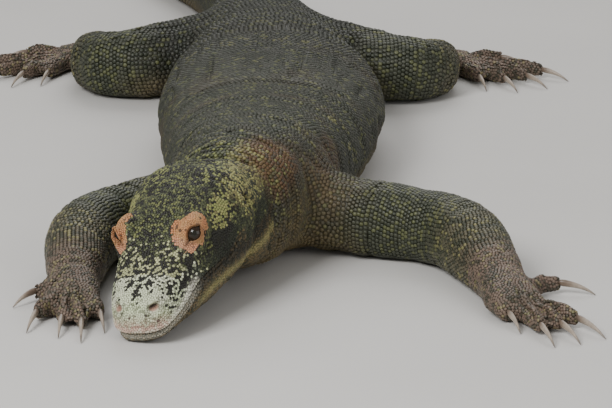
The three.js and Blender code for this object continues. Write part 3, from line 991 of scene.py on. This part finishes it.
# ---------- colours: one formula for skin and scales ----------
# Each marking is mixed in with a strength, and picked lets a share of the scales have it.
BLACK = (0.014, 0.013, 0.009)
DARK = (0.026, 0.031, 0.017)
OLIVE = (0.066, 0.074, 0.032)
LEAF = (0.23, 0.245, 0.082)
CREAM = (0.60, 0.665, 0.43)
WHITE = (0.70, 0.67, 0.56)
SALMON = (0.47, 0.20, 0.085)
PINK = (0.62, 0.36, 0.28)
RUST = (0.118, 0.059, 0.024)
TAN = (0.21, 0.155, 0.07)
STRAW = (0.42, 0.38, 0.15)
HORN_BROWN = (0.118, 0.090, 0.064)
GREY_OLIVE = (0.044, 0.045, 0.031)
ARM_GREEN = (0.050, 0.054, 0.034)
NOSTRIL_PINK = (0.40, 0.20, 0.15)
SPECKLES = {  # single scales of another colour: (colour, how strong, how many, which random number)
    "trunk": ((DARK, 0.9, 0.42, 0), (LEAF, 0.36, 0.12, 1)),
    "upper_arm": ((DARK, 0.75, 0.38, 0), (LEAF, 0.28, 0.26, 1)),
    "forearm": ((DARK, 0.8, 0.42, 0), (STRAW, 0.4, 0.12, 1)),
    "hand": ((DARK, 0.7, 0.30, 0), (STRAW, 0.3, 0.12, 1)),
    "crown": ((BLACK, 1, 0.50, 0), (LEAF, 0.65, 0.20, 1)),
}


def mix(base, colour, amount):
    """Colours moved towards other ones, by one amount or by one for each point."""
    amount = np.clip(amount, 0, 1)
    if np.ndim(amount):
        amount = amount[:, None]
    base = np.asarray(base)
    return base + (np.asarray(colour) - base) * amount


def covered(colour, over, where):
    """The one colour, with the other one over it in some places."""
    return np.where(where[:, None], over, colour)


def random_of(points, seed):
    """A number from 0 to 1 for each place."""
    return cell_random(np.floor(points / (0.5 * MM)), seed)


def picked(chance, random):
    """1 where a point's random number is under its chance."""
    return (random < chance).astype(float)


def speckled(colour, name, *random):
    """A colour with a table's single scales of other colours."""
    for shade, strength, chance, which in SPECKLES[name]:
        colour = mix(colour, shade, strength * picked(chance, random[which]))
    return colour


RING_GAP = 115 * MM  # from one ring of pale dots to the next along the trunk
FRONT_END = 250 * MM  # distances along the trunk from the head
REAR_START = 800 * MM


def trunk_colours(points, distance, random, second):
    """Dark grey-olive, with rusty patches in front, rings of pale dots, a paler belly, and painted shade
    that darkens it towards the rear.
    """
    height = points[:, 2]
    rear = step(distance, FRONT_END, REAR_START)
    colour = speckled(GREY_OLIVE, "trunk", random, second)
    rust = 0.5 * step(rough_noise(points, 100 * MM, 21), 0.1, 0.6) * (1 - rear)
    colour = mix(colour, RUST, rust * (0.35 + 0.65 * picked(0.72, random)))
    colour = mix(colour, TAN, 0.5 * (1 - step(height, 15 * MM, 50 * MM)))
    rings = 0.7 * np.sin(distance * 2 * math.pi / RING_GAP) + 0.7 * rough_noise(points, 50 * MM, 6)
    rings = step(rings + 0.4 * noise(points, 160 * MM, 5), 0.3, 1.0)
    rings = rings * picked(0.2, second) * step(height, 30 * MM, 80 * MM)
    colour = mix(colour, STRAW, 0.25 * rings)
    # painted shade: the trunk and tail darken towards the rear, as if less light reached them away from
    # the head
    return colour * (1 - 0.35 * rear)[:, None]


def limb_colours(shares, points, random, second):
    """Greenish upper arms with pale dots, browner forearms, and pinkish-brown hands and feet."""
    lower, ends = shares
    colour = speckled(ARM_GREEN, "upper_arm", random, second)
    brown = mix(OLIVE, HORN_BROWN, 0.5 + 0.5 * rough_noise(points, 50 * MM, 8))
    colour = mix(colour, speckled(brown, "forearm", random, second), lower)
    hands = mix(HORN_BROWN, PINK, 0.06 + 0.10 * rough_noise(points, 30 * MM, 9))
    return mix(colour, speckled(hands, "hand", random, second), ends)


def limb_shares(points):
    """How much each point belongs to a limb, its lower part and its hand, with wandering borders."""
    shares = np.zeros((3, len(points)))
    wander = 16 * MM * rough_noise(points, 26 * MM, 41)
    THICK = 105 * MM
    LONG = 400 * MM
    NEAR = 420 * MM
    for root, elbow, wrist in limb_joints.values():
        borders = (
            (root, elbow - root, -45, 45), (elbow, wrist - root, -50, 40), (wrist, wrist - elbow, -42, 22),
        )
        inside = np.ones(len(points))
        for number, (joint, along, start, end) in enumerate(borders):
            along = unit(along)
            v = points - joint
            ahead = v @ along
            beside = lengths_of(v - ahead[:, None] * along)
            share = step(ahead + wander, start * MM, end * MM)
            if number == 0:
                share = share * (beside < THICK) * (ahead < LONG)
                inside = share > 0
            near = lengths_of(v) < NEAR
            shares[number] = np.maximum(shares[number], share * near * inside)
    return shares


MUZZLE_MARKS = (  # black marks on each side: (how likely, y, length, x, width)
    (0.9, 37, 7, 11, 5.5), (0.9, 40, 10, 31, 4.0), (0.65, 50, 11, 39, 4.5),
)
BLACK_REAR = ((58, 141, 10), (16, 27, 24))  # the black behind the eye, a dark marking with the shade of the hollow painted in: its middle and its size
TEMPLE = ((55, 163, 35), (15, 24, 17))
JAW_STREAK_Y = [60, 99, 143, 185]
JAW_STREAK_Z = [-12, -17, -30, -47]
PATCH_MIDDLE = (4.5, 5)  # the salmon patch, along and across from the eye
PATCH_LONG = 25.5
PATCH_LOW = 17.0
PATCH_HIGH = 21.5
RIGHT_PATCH_HIGH = 7.5  # the right eye's patch is narrower


def oval(m, middle, size):
    """1 on an oval's surface, less inside it."""
    x, y, z = ((m - middle) / size).T
    return np.hypot(np.hypot(x, y), z)


def crown_colours(m, wander, random, second):
    """Speckled olive, and towards the muzzle a bridge of pale and black scales."""
    bridge = mix(mix(CREAM, STRAW, 0.55), OLIVE, 0.3 + 0.4 * noise(m, 10, 62))
    bridge = mix(bridge, BLACK, picked(0.52, random))
    on_bridge = picked(1 - step(m[:, 1] + wander, 58, 112), second) > 0
    return covered(speckled(OLIVE, "crown", random, second), bridge, on_bridge)


def muzzle_colours(m, random, second):
    """Pale, with black marks along its middle, on its sides and towards the bridge."""
    x, y, _ = m.T
    colour = mix(CREAM, WHITE, 0.3 + 0.4 * noise(m, 9, 63))
    colour = mix(colour, OLIVE, 0.5 * picked(0.16, second) + 0.25 * step(noise(m, 7, 64), 0.1, 0.6))
    marks = 0.9 * bump(x, 4.0) * step(y, 13, 20)
    for chance, mark_y, long, mark_x, wide in MUZZLE_MARKS:
        marks = np.maximum(marks, chance * bump(y - mark_y, long) * bump(x - mark_x, wide))
    marks = np.maximum(marks, 0.62 * step(y, 38, 54))
    marks = np.maximum(marks, 0.025 + 0.13 * step(y, 14, 30))
    return mix(colour, BLACK, picked(marks, random))


def lip_colours(colour, above, y, second):
    """A whitish upper lip, pink in front."""
    colour = mix(colour, WHITE, 0.7 * (bump(above - 3.5, 4.0) * (1 - step(y, 60, 90)) * (above > 0)))
    pink_front = bump(above - 6, 9) * (1 - step(y, 8, 24)) * (0.4 + 0.6 * picked(0.6, second))
    return mix(colour, PINK, 0.7 * pink_front)


def cheek_colours(colour, m, above, random, second):
    """Black behind the eye, partly a marking and partly painted shade, a dark cheek, and the streaked
    green of the temple.
    """
    x, y, z = m.T
    # black behind the eye: a dark marking, with the shade of the hollow there painted in as well
    rear = 1 - step(oval(m, *BLACK_REAR), 0.8, 1.15)
    colour = mix(colour, BLACK, picked(1.15 * rear, random) * 0.93)
    cheek = (above < 14) & (y > 78) & (x > 30)
    colour = covered(colour, mix(colour, DARK, 0.85), cheek & (random < 0.8))
    temple = oval(m, *TEMPLE) + 0.3 * rough_noise(m, 8, 67)
    streaks = noise(np.stack([x * 0.5 + z, y * 0.4, z - x * 0.5], 1), 5.5, 68)
    leafy = mix(LEAF, BLACK, picked(0.2 + 0.35 * step(streaks, 0.0, 0.5), random))
    leafy = mix(leafy, STRAW, 0.4 * picked(0.3, second))
    return covered(colour, leafy, (temple < 1.1) & (second < 1.35 - 0.6 * temple))


def orbit_colours(colour, m, right, random):
    """The salmon patch round the eye with a few dark scales, and the black rim of the lids."""
    v = m - EYE_MIDDLE
    u = v @ patch_along
    w = v @ patch_across
    high = np.where(right, RIGHT_PATCH_HIGH, PATCH_HIGH)
    long_share = (u - PATCH_MIDDLE[0]) / PATCH_LONG
    high_share = (w - PATCH_MIDDLE[1]) / np.where(w > PATCH_MIDDLE[1], high, PATCH_LOW)
    level = np.hypot(long_share, high_share) + 0.10 * noise(m, 7, 65)
    near_eye = (lengths_of(v) < 34) & (v @ LOOK > -10)
    orbit = mix(SALMON, STRAW, 0.16 + 0.3 * noise(m, 8, 66))
    orbit = mix(orbit, BLACK, 0.8 * picked(0.16 * step(w, 8, 14) + 0.02, random))
    orbit = mix(orbit, PINK, 0.25 * step(-u, 4, 14))
    colour = covered(colour, orbit, near_eye & (level < 1))
    return mix(colour, BLACK, 0.95 * bump(lid_level(m, right)[0] - 1.0, 0.27) * near_eye)


def jaw_colours(m, above, random):
    """Tan and dark, with a pale lower lip, a straw streak and painted shade in black above it."""
    _, y, z = m.T
    colour = mix(np.array(TAN) * 0.72, DARK, picked(0.5, random) * 0.85)
    colour = mix(colour, WHITE, 0.55 * bump(above + 4.5, 3.2) * (1 - step(y, 60, 95)))
    beside = z - np.interp(y, JAW_STREAK_Y, JAW_STREAK_Z)
    colour = mix(colour, STRAW, 0.6 * bump(beside, 5.5) * step(y, 55, 80))
    # painted shade: black on the side of the jaw, above the straw streak
    return mix(colour, BLACK, 0.75 * (bump(beside - 18, 11) * step(y, 60, 85)))


def nostril_colours(colour, m):
    """Pink walls, and painted shade that makes the hole dark."""
    pit = m - NOSTRIL
    along = pit @ nostril_along
    across = pit @ nostril_across
    inner = np.hypot(along / 6.0, (across + 3.0) / 3.4)
    colour = mix(colour, NOSTRIL_PINK, 0.85 * (1 - step(inner, 0.6, 1.25)))
    # painted shade: the inside of the hole is painted black
    hole = np.minimum(1, 1.3 * bump(along, 6.0) * bump(across + 0.5, 2.1))
    return mix(colour, BLACK, 0.96 * hole * near_nostril(m, 12))


def head_colours(m, right, random, second):
    """The markings of the head, with its painted shade, from places in its own frame, all in millimetres.
    """
    x, y, z = m.T
    above = mouth_height(m)
    wander = 5 * rough_noise(m, 11, 61)
    colour = crown_colours(m, wander, random, second)
    on_muzzle = (y + wander * 0.6 < 52 + 34 * step(x, 32, 45)) & (above > -1)
    colour = covered(colour, muzzle_colours(m, random, second), on_muzzle)
    colour = lip_colours(colour, above, y, second)
    colour = cheek_colours(colour, m, above, random, second)
    colour = orbit_colours(colour, m, right, random)
    under = (above < -1) & ((y < MOUTH_END) | (z < -25))
    colour = covered(colour, jaw_colours(m, above, random), under)
    colour = nostril_colours(colour, m)
    neck_leaf = step(y, 176, 200) * step(z, -15, 5)
    leafy_neck = mix(LEAF, BLACK, picked(0.5, random))
    return covered(colour, leafy_neck, (neck_leaf > second * 1.6) & (x > 20))


STREAK_START = np.array([64.0, 200.0, 24.0])  # the straw-coloured streak on the left of the neck
STREAK_END = np.array([48.0, 292.0, 20.0])
RUST_MIDDLE = np.array([70.0, 304.0, -8.0])
RUST_SIZE = np.array([46.0, 52.0, 60.0])


def neck_patches(colour, q, random, second):
    """The straw-coloured streak and the rust behind it, on the left of the neck only."""
    along = STREAK_END - STREAK_START
    share = np.clip((q - STREAK_START) @ along / (along @ along), 0, 1)
    away = lengths_of(q - STREAK_START - share[:, None] * along)
    straw = (1 - step(away + 7 * rough_noise(q, 14, 71), 14, 34)) * picked(0.62, second)
    colour = mix(colour, STRAW, 0.5 * straw)
    away = lengths_of((q - RUST_MIDDLE) / RUST_SIZE) + 0.15 * rough_noise(q, 20, 72)
    rust = 1 - step(away, 0.5, 1.3)
    return mix(colour, RUST, 0.85 * rust * (0.3 + 0.7 * picked(0.75, random)))


def nape_and_throat(colour, points, parts, limb, random, second):
    """Black and leaf-green dots behind the head, and a tan throat."""
    q = to_head(points)
    _, y, z = q.T
    dotted = mix(OLIVE, BLACK, 0.9 * picked(0.5, random))
    dotted = mix(dotted, LEAF, 0.8 * picked(0.20 + 0.3 * step(q[:, 0], -10, 40), second))
    nape = (1 - step(y, 262, 360)) * step(z, -45, -5) * is_kind(parts, ["neck", "chest"])
    colour = covered(colour, dotted, nape > random_of(points, 97))
    throat = (1 - step(z, -72, -36)) * (1 - step(y, 290, 400)) * (1 - limb)
    throat = throat * is_kind(parts, ["neck", "chest", "upper_arm"])
    return mix(colour, TAN, 0.55 * throat * (0.4 + 0.6 * picked(0.6, random)))


def hide_colours(points, parts, distance, random, second):
    """The colour of the hide at each point."""
    q = to_head(points)
    limb, lower, ends = limb_shares(points)
    on_limb = is_kind(parts, LIMBS)
    ends = np.where(on_limb, np.maximum(ends, is_kind(parts, ["hand", "foot"])), 0)
    beside = limb * is_kind(parts, ["chest", "pelvis"])
    limb = np.maximum(np.where(on_limb, np.maximum(limb, step(lower, 0, 0.5)), beside), ends)
    colour = trunk_colours(points, distance, random, second)
    colour = mix(colour, limb_colours((lower, ends), points, random, second), limb)
    colour = nape_and_throat(colour, points, parts, limb, random, second)
    on_head = is_kind(parts, ["head", "lower_jaw"])
    colour = covered(colour, head_colours(mirrored(q), q[:, 0] < 0, random, second), on_head)
    behind = step(q[:, 1], 176, 200) * step(q[:, 0], 0, 30) * step(q[:, 2], -60, -25)
    behind = behind * is_kind(parts, ["head", "neck", "chest"])
    colour = mix(colour, neck_patches(colour, q, random, second), behind)
    shade = 1 + 0.22 * rough_noise(points, 45 * MM, 91) + 0.18 * (second - 0.5)
    return np.clip(colour * shade[:, None], 0.003, 0.95)


def paint(mesh, colours):
    """Gives each point of a mesh its colour."""
    attribute = mesh.attributes.new("hide_colour", "FLOAT_COLOR", "POINT")
    values = np.hstack([colours, np.ones((len(colours), 1))])
    attribute.data.foreach_set("color", values.astype(np.float32).ravel())


# ---------- the scales ----------
SIDES = 6
LENGTH = 1.26  # of a scale, as a share of the pitch
WIDTH = 1.06
SNUG = 0.93  # a scale's width beside its row's
INNER = 0.56  # the size of its flat top, as a share of its own
SINK = 0.45 * MM  # how deep its front edge lies in the skin
LIFT = 0.32 * MM  # how far its rear edge stands off it
TOP = 0.95 * MM
TILT = 0.25  # how much higher the top is at its front
TIGHT_GROWTH = 1.1  # scales without rows are a little larger beside their pitch
FULL_SIZE = 5 * MM  # the pitch of a scale with the full height
angles = np.arange(SIDES) * 2 * math.pi / SIDES
hexagon = np.stack([np.cos(angles), np.sin(angles)], 1)
skin_normals = normals_of(mesh)
skin_points = points_of(mesh)
first_corners = np.array([face[:3] for face in mesh_faces])


def on_skin(places):
    """Each place moved onto the skin, and the skin's soft normal there."""
    hits = [skin_tree.find_nearest(Vector(p)) for p in places]
    located = np.array([hit[0] for hit in hits])
    faces = np.array([hit[2] for hit in hits])
    n = skin_normals[first_corners[faces]].mean(axis=1)
    return located, n / lengths_of(n)[:, None]


LID_CLEAR = 1.25  # a lid level, and the next four are half sizes and distances in millimetres
SLIT_CLEAR = [6.2, 6.5, 4.2]
RING_CLEAR = 5.2
MOUTH_CLEAR = 1.3
EAR_CLEAR = [30, 5.2, 8.6]
FLOOR_CLEAR = 1.2 * MM


def clear_of_openings(places, parts):
    """Which places are clear of the eye, the nostril, the mouth, the ear and the floor."""
    q = to_head(places)
    m = mirrored(q)
    lid, _, reach = lid_level(m, q[:, 0] < 0)
    pit = m - NOSTRIL
    on_eye = (lid < LID_CLEAR) & (reach < EYE_REACH)
    in_slit = lengths_of(pit / SLIT_CLEAR) <= 1
    in_ring = np.hypot(pit @ nostril_along, pit @ nostril_across + RING_SHIFT) < RING_CLEAR
    in_ring &= near_nostril(m, NOSTRIL_REACH)
    in_mouth = (np.abs(mouth_height(m)) < MOUTH_CLEAR) & (m[:, 1] < MOUTH_END - LIP_REACH)
    in_mouth &= is_kind(parts, ["head", "lower_jaw"])
    in_ear = lengths_of((m - EAR) / EAR_CLEAR) <= 1
    on_floor = places[:, 2] <= FLOOR_CLEAR
    return ~(on_eye | in_slit | in_ring | in_mouth | in_ear | on_floor)


places, place_normals = on_skin(found[:, :3])
place_parts = own_parts(places)
clear = clear_of_openings(places, place_parts)
places, place_normals, place_parts = places[clear], place_normals[clear], place_parts[clear]
places_pitch = found[clear, 3]
way, distance, turn = lie_of(places, place_parts)
number = np.arange(len(places))
cells = np.stack([number, number * 0, number * 0], 1)
random_one, random_two, random_three, random_four = (cell_random(cells, seed) for seed in (1, 2, 3, 4))
place_colours = hide_colours(places, place_parts, distance, random_one, random_two)


def scale_faces():
    """The corners of one scale's faces one after another, and each face's count of them."""
    corners, counts = [], []
    for k in range(SIDES):
        following = (k + 1) % SIDES
        corners += [k, following, SIDES + following, SIDES + k]
        counts.append(4)
    corners += list(range(SIDES, 2 * SIDES))
    counts.append(SIDES)
    for k in range(SIDES):
        corners += [2 * SIDES, (k + 1) % SIDES, k]
        counts.append(3)
    return np.array(corners), counts


CORNERS, COUNTS = scale_faces()
POINTS_EACH = 2 * SIDES + 1


def scale_points(chosen):
    """The points of a group of scales: each one's edge, its flat top and its foot."""
    p, n, size = places[chosen], place_normals[chosen], places_pitch[chosen]
    t = way[chosen] - n * (way[chosen] * n).sum(axis=1)[:, None]
    t /= np.maximum(lengths_of(t), 1e-9)[:, None]
    twist = (random_three[chosen] - 0.5) * 0.35
    b = np.cross(n, t)
    cos, sin = np.cos(twist)[:, None], np.sin(twist)[:, None]
    t, b = t * cos + b * sin, b * cos - t * sin
    grow = 0.94 + 0.16 * random_four[chosen]
    grow = grow * np.where(is_kind(place_parts[chosen], UNRULED), TIGHT_GROWTH, 1.0)
    small = np.clip(size / FULL_SIZE, 0.6, 1.15)
    layers = []
    for share in (1.0, INNER):
        for angle in angles:
            ahead = math.cos(angle)
            out = ahead * LENGTH / 2 * share * size * grow
            across = math.sin(angle) * WIDTH / 2 * share / math.sin(math.pi / 3) * SNUG * size * grow
            edge = LIFT * max(ahead, 0) - SINK * max(-ahead, 0)
            height = (edge if share == 1 else TOP * (1 - TILT * ahead)) * small
            layers.append(p + t * out[:, None] + b * across[:, None] + n * height[:, None])
    layers.append(p - n * (SINK * 1.6 * small)[:, None])
    return np.stack(layers, 1).reshape(-1, 3)


COAT_FLOOR = 0.1 * MM
EDGE_SHADE = 0.62  # painted shade: a scale is darker at its edge and its foot
FOOT_SHADE = 0.5
PATCH = 0.003  # how large each scale lies in the bake map
MARGIN = 0.02


def build_coat(name, chosen):
    """One piece of the coat."""
    count = len(chosen)
    points = scale_points(chosen)
    points[:, 2] = np.maximum(points[:, 2], COAT_FLOOR)
    loops = (np.arange(count)[:, None] * POINTS_EACH + CORNERS).ravel()
    coat = make_object(name, points, loops, np.tile(COUNTS, count))
    shade_smooth(coat.data)
    # painted shade at the edge and the foot of each scale
    shades = np.concatenate([np.full(SIDES, EDGE_SHADE), np.ones(SIDES), [FOOT_SHADE]])
    paint(coat.data, (place_colours[chosen][:, None, :] * shades[None, :, None]).reshape(-1, 3))
    span = distance[chosen]
    low, high = span.min(), span.max() + MM
    u = MARGIN + (1 - 2 * MARGIN) * (span - low) / (high - low)
    v = MARGIN + (1 - 2 * MARGIN) * (turn[chosen] + math.pi) / (2 * math.pi)
    spot = np.concatenate([hexagon * PATCH / 2, hexagon * PATCH / 4, np.zeros((1, 2))])
    uv = np.stack([u, v], 1)[:, None, :] + spot[CORNERS][None]
    bake = coat.data.uv_layers.new(name="OFBake")
    bake.data.foreach_set("uv", uv.astype(np.float32).ravel())
    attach(coat, BODY)
    return coat


coats = []
for number, node in enumerate(FLESH):
    chosen = np.flatnonzero(place_parts == number)
    if len(chosen):
        coats.append(build_coat(f"scales_{node}", chosen))

UNDER_SCALE_SHADE = 0.55  # painted shade: the skin between the scales is darker
SKIN_GRAIN = 3.2 * MM
skin_parts = own_parts(skin_points)
_, skin_distance, _ = lie_of(skin_points, skin_parts)
cells = np.floor(skin_points / SKIN_GRAIN)
skin_random = (cell_random(cells, 1), cell_random(cells, 2))
skin_colours = hide_colours(skin_points, skin_parts, skin_distance, *skin_random)
q = to_head(skin_points)
m = mirrored(q)
lid, _, reach = lid_level(m, q[:, 0] < 0)
bare = np.where(reach < EYE_REACH, 1 - step(lid, 2.2, 3.4), 0)
bare = np.maximum(bare, 1 - step(lengths_of(m - NOSTRIL), 6, 11))
# painted shade on the skin between the scales, left out where the skin is bare by the eyes and the
# nostrils
paint(mesh, skin_colours * (UNDER_SCALE_SHADE + (1 - UNDER_SCALE_SHADE) * bare)[:, None])


# ---------- materials ----------
def noise_in(nodes, link, scale, detail):
    """Noise from 0 to 1 that stays with the piece."""
    place = nodes.new("ShaderNodeTexCoord")
    made = nodes.new("ShaderNodeTexNoise")
    made.inputs["Scale"].default_value = scale
    made.inputs["Detail"].default_value = detail
    link(place.outputs["Object"], made.inputs["Vector"])
    return made.outputs["Fac"]


def ranged(nodes, link, scale, detail, low, high):
    """The same noise from low to high."""
    made = nodes.new("ShaderNodeMapRange")
    made.inputs["To Min"].default_value = low
    made.inputs["To Max"].default_value = high
    link(noise_in(nodes, link, scale, detail), made.inputs["Value"])
    return made.outputs["Result"]


def painted(*tone):
    """A base colour: the piece's painted colours, with noise in their tone."""
    def build(nodes, link):
        colour = nodes.new("ShaderNodeAttribute")
        colour.attribute_name = "hide_colour"
        made = nodes.new("ShaderNodeHueSaturation")
        link(colour.outputs["Color"], made.inputs["Color"])
        link(ranged(nodes, link, *tone), made.inputs["Value"])
        return made.outputs["Color"]
    return build


def clouded(scale, detail, first, second):
    """A base colour: soft clouds between two colours."""
    def build(nodes, link):
        made = nodes.new("ShaderNodeMix")
        made.data_type = "RGBA"
        made.inputs["A"].default_value = (*first, 1)
        made.inputs["B"].default_value = (*second, 1)
        link(noise_in(nodes, link, scale, detail), made.inputs["Factor"])
        return made.outputs["Result"]
    return build


def material(name, base, rough, relief, **sockets):
    """A material. rough is (scale, detail, low, high) and relief (scale, detail, strength, height)."""
    made = bpy.data.materials.new(name)
    made.use_nodes = True
    nodes = made.node_tree.nodes
    link = made.node_tree.links.new
    shader = nodes["Principled BSDF"]
    link(base(nodes, link), shader.inputs["Base Color"])
    link(ranged(nodes, link, *rough), shader.inputs["Roughness"])
    scale, detail, strength, height = relief
    made_relief = nodes.new("ShaderNodeBump")
    made_relief.inputs["Strength"].default_value = strength
    made_relief.inputs["Distance"].default_value = height
    link(noise_in(nodes, link, scale, detail), made_relief.inputs["Height"])
    link(made_relief.outputs["Normal"], shader.inputs["Normal"])
    for socket, value in sockets.items():
        shader.inputs[socket.replace("_", " ")].default_value = value
    return made


hide_tone = painted(900, 3, 0.72, 1.28)
scale_relief = (700, 4, 0.5, 0.3 * MM)
skin_relief = (900, 4, 0.5, 0.4 * MM)
scale_material = material("scales", hide_tone, (60, 4, 0.36, 0.6), scale_relief, Specular_IOR_Level=0.45)
skin_material = material("skin", hide_tone, (60, 4, 0.42, 0.66), skin_relief, Specular_IOR_Level=0.45)
for coat in coats:
    coat.data.materials.append(scale_material)
mesh.materials.append(skin_material)


# ---------- eyes ----------
BALL = 11.5 * MM
PUPIL = 3.4  # radii on the eyeball, in millimetres
IRIS = 7.6
IRIS_RAYS = 23
CORNEA = 0.035  # how far the clear front bulges, as a share of the radius
EYE_DARK = (0.015, 0.011, 0.008)
IRIS_DARK = (0.012, 0.008, 0.005)
IRIS_BROWN = (0.030, 0.017, 0.008)


def build_eye(node, side, finish):
    """An eyeball with a bulging clear front, a round pupil and a dark brown iris."""
    ball = bmesh.new()
    bmesh.ops.create_uvsphere(ball, u_segments=64, v_segments=48, radius=1)
    made = bpy.data.meshes.new(node)
    ball.to_mesh(made)
    ball.free()
    look = head_turn @ Vector((side * LOOK[0], LOOK[1], LOOK[2]))
    turn = look.to_track_quat("Z", "Y").to_matrix()
    local = points_of(made)
    off_axis = np.degrees(np.arccos(np.clip(local[:, 2], -1, 1)))
    radius = BALL * (1 + CORNEA * (1 - step(off_axis, 10, 42)))
    out = np.hypot(local[:, 0], local[:, 1]) * BALL / MM
    spin = np.arctan2(local[:, 1], local[:, 0])
    iris = mix(IRIS_DARK, IRIS_BROWN, 0.5 + 0.5 * np.sin(spin * IRIS_RAYS))
    front = local[:, 2] > 0
    colours = covered(np.tile(EYE_DARK, (len(local), 1)), iris, (out < IRIS) & front)
    colours = mix(colours, BLACK, (1 - step(out, PUPIL - 0.4, PUPIL + 0.4)) * front)
    colours = mix(colours, BLACK, 0.8 * bump(out - IRIS, 0.7) * front)
    set_points(made, centre(node) + (local * radius[:, None]) @ np.array(turn).T)
    shade_smooth(made)
    paint(made, colours)
    made.materials.append(finish)
    eye = placed(f"{node}ball", made)
    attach(eye, BODY)
    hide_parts(node)


eye_shine = {"Coat_Weight": 0.1, "Coat_Roughness": 0.02, "Specular_IOR_Level": 0.3}
eye_relief = (300, 2, 0.04, 0.1 * MM)
eye_finish = material("eye", painted(1400, 2, 0.6, 1.4), (300, 2, 0.03, 0.1), eye_relief, **eye_shine)
build_eye("eye_left", 1, eye_finish)
build_eye("eye_right", -1, eye_finish)


# ---------- claws ----------
HORN = (0.36, 0.30, 0.24)
HORN_TIP = (0.055, 0.045, 0.038)
HORN_BASE = (0.16, 0.115, 0.085)


def build_claw(node, finish):
    """A smooth curved claw in the place of its faceted solid."""
    work = bmesh.new()
    work.from_mesh(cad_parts[node].data)
    bmesh.ops.remove_doubles(work, verts=work.verts, dist=0.02 * MM)
    bmesh.ops.join_triangles(work, faces=work.faces, angle_face_threshold=0.9, angle_shape_threshold=0.9)
    made = bpy.data.meshes.new(f"{node}_horn")
    work.to_mesh(made)
    work.free()
    claw = placed(f"{node}_horn", made)
    soft = claw.modifiers.new("soft", "SUBSURF")
    soft.levels = 2
    smooth = applied(claw)
    claw.modifiers.clear()
    claw.data = smooth
    local = points_of(smooth)
    kind, side, _ = node.split("_")[1:]
    away = lengths_of(local - centre(f"{kind}_{side}"))
    share = (away - away.min()) / (away.max() - away.min())
    colours = mix(HORN, HORN_BASE, 1 - step(share, 0.05, 0.4))
    colours = mix(colours, HORN_TIP, 0.75 * step(share, 0.72, 1.0))
    colours = mix(colours, HORN_TIP, 0.5 * step(rough_noise(local, 6 * MM, 15), 0.15, 0.7))
    shade_smooth(smooth)
    paint(smooth, colours)
    smooth.materials.append(finish)
    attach(claw, BODY)
    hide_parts(node)


claw_relief = (420, 5, 0.35, 0.3 * MM)
claw_finish = material("claw", painted(420, 5, 0.65, 1.35), (420, 5, 0.25, 0.5), claw_relief)
for name in sorted(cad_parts):
    if name.startswith("claw_"):
        build_claw(name, claw_finish)

# ---------- the camera, the floor and the lights ----------
camera_data = bpy.data.cameras.new("photo_camera")
camera_data.sensor_width = SENSOR_WIDTH
camera_data.lens = SENSOR_WIDTH * FOCAL_PIXELS / PHOTO_WIDTH
camera_data.clip_end = 50
camera = placed("photo_camera", camera_data)
camera.location = ground_origin + CAMERA_PLACE
camera.rotation_euler = (math.radians(90 - CAMERA_TILT), 0, 0)
bpy.context.scene.camera = camera

FLOOR_SIZE = 30
FLOOR_COLOURS = ((0.60, 0.585, 0.56), (0.68, 0.665, 0.64))
floor_mesh = bpy.data.meshes.new("floor")
corners = [(x * FLOOR_SIZE / 2, y * FLOOR_SIZE / 2, 0) for x, y in ((-1, -1), (1, -1), (1, 1), (-1, 1))]
floor_mesh.from_pydata(corners, [], [(0, 1, 2, 3)])
floor = placed("floor", floor_mesh)
floor_base = clouded(2.5, 5, *FLOOR_COLOURS)
floor_relief = (350, 4, 0.25, 0.5 * MM)
floor_finish = material("floor", floor_base, (350, 4, 0.6, 0.85), floor_relief, Specular_IOR_Level=0.25)
floor_mesh.materials.append(floor_finish)

LAMPS = {  # round the head: (place, size, power)
    "key": ((-1.6, -1.9, 2.6), 1.6, 125),
    "fill": ((2.6, -2.2, 1.6), 2.4, 32),
    "back": ((0.4, 3.6, 2.8), 2.6, 60),
}
SHOULDERS = Vector((0.12, 0.25, 0.08))  # what they face
WORLD_COLOUR = (1, 0.99, 0.975, 1)
WORLD_STRENGTH = 0.42


def soft_light(name, place, size, power):
    """A large square lamp that faces the shoulders."""
    lamp = bpy.data.lights.new(name, "AREA")
    lamp.energy = power
    lamp.size = size
    made = placed(name, lamp)
    made.location = ground_origin + Vector(place)
    facing = ground_origin + SHOULDERS - made.location
    made.rotation_euler = facing.to_track_quat("-Z", "Y").to_euler()


for name, lamp in LAMPS.items():
    soft_light(name, *lamp)
world = bpy.data.worlds.new("studio")
world.use_nodes = True
world.node_tree.nodes["Background"].inputs["Color"].default_value = WORLD_COLOUR
world.node_tree.nodes["Background"].inputs["Strength"].default_value = WORLD_STRENGTH
bpy.context.scene.world = world
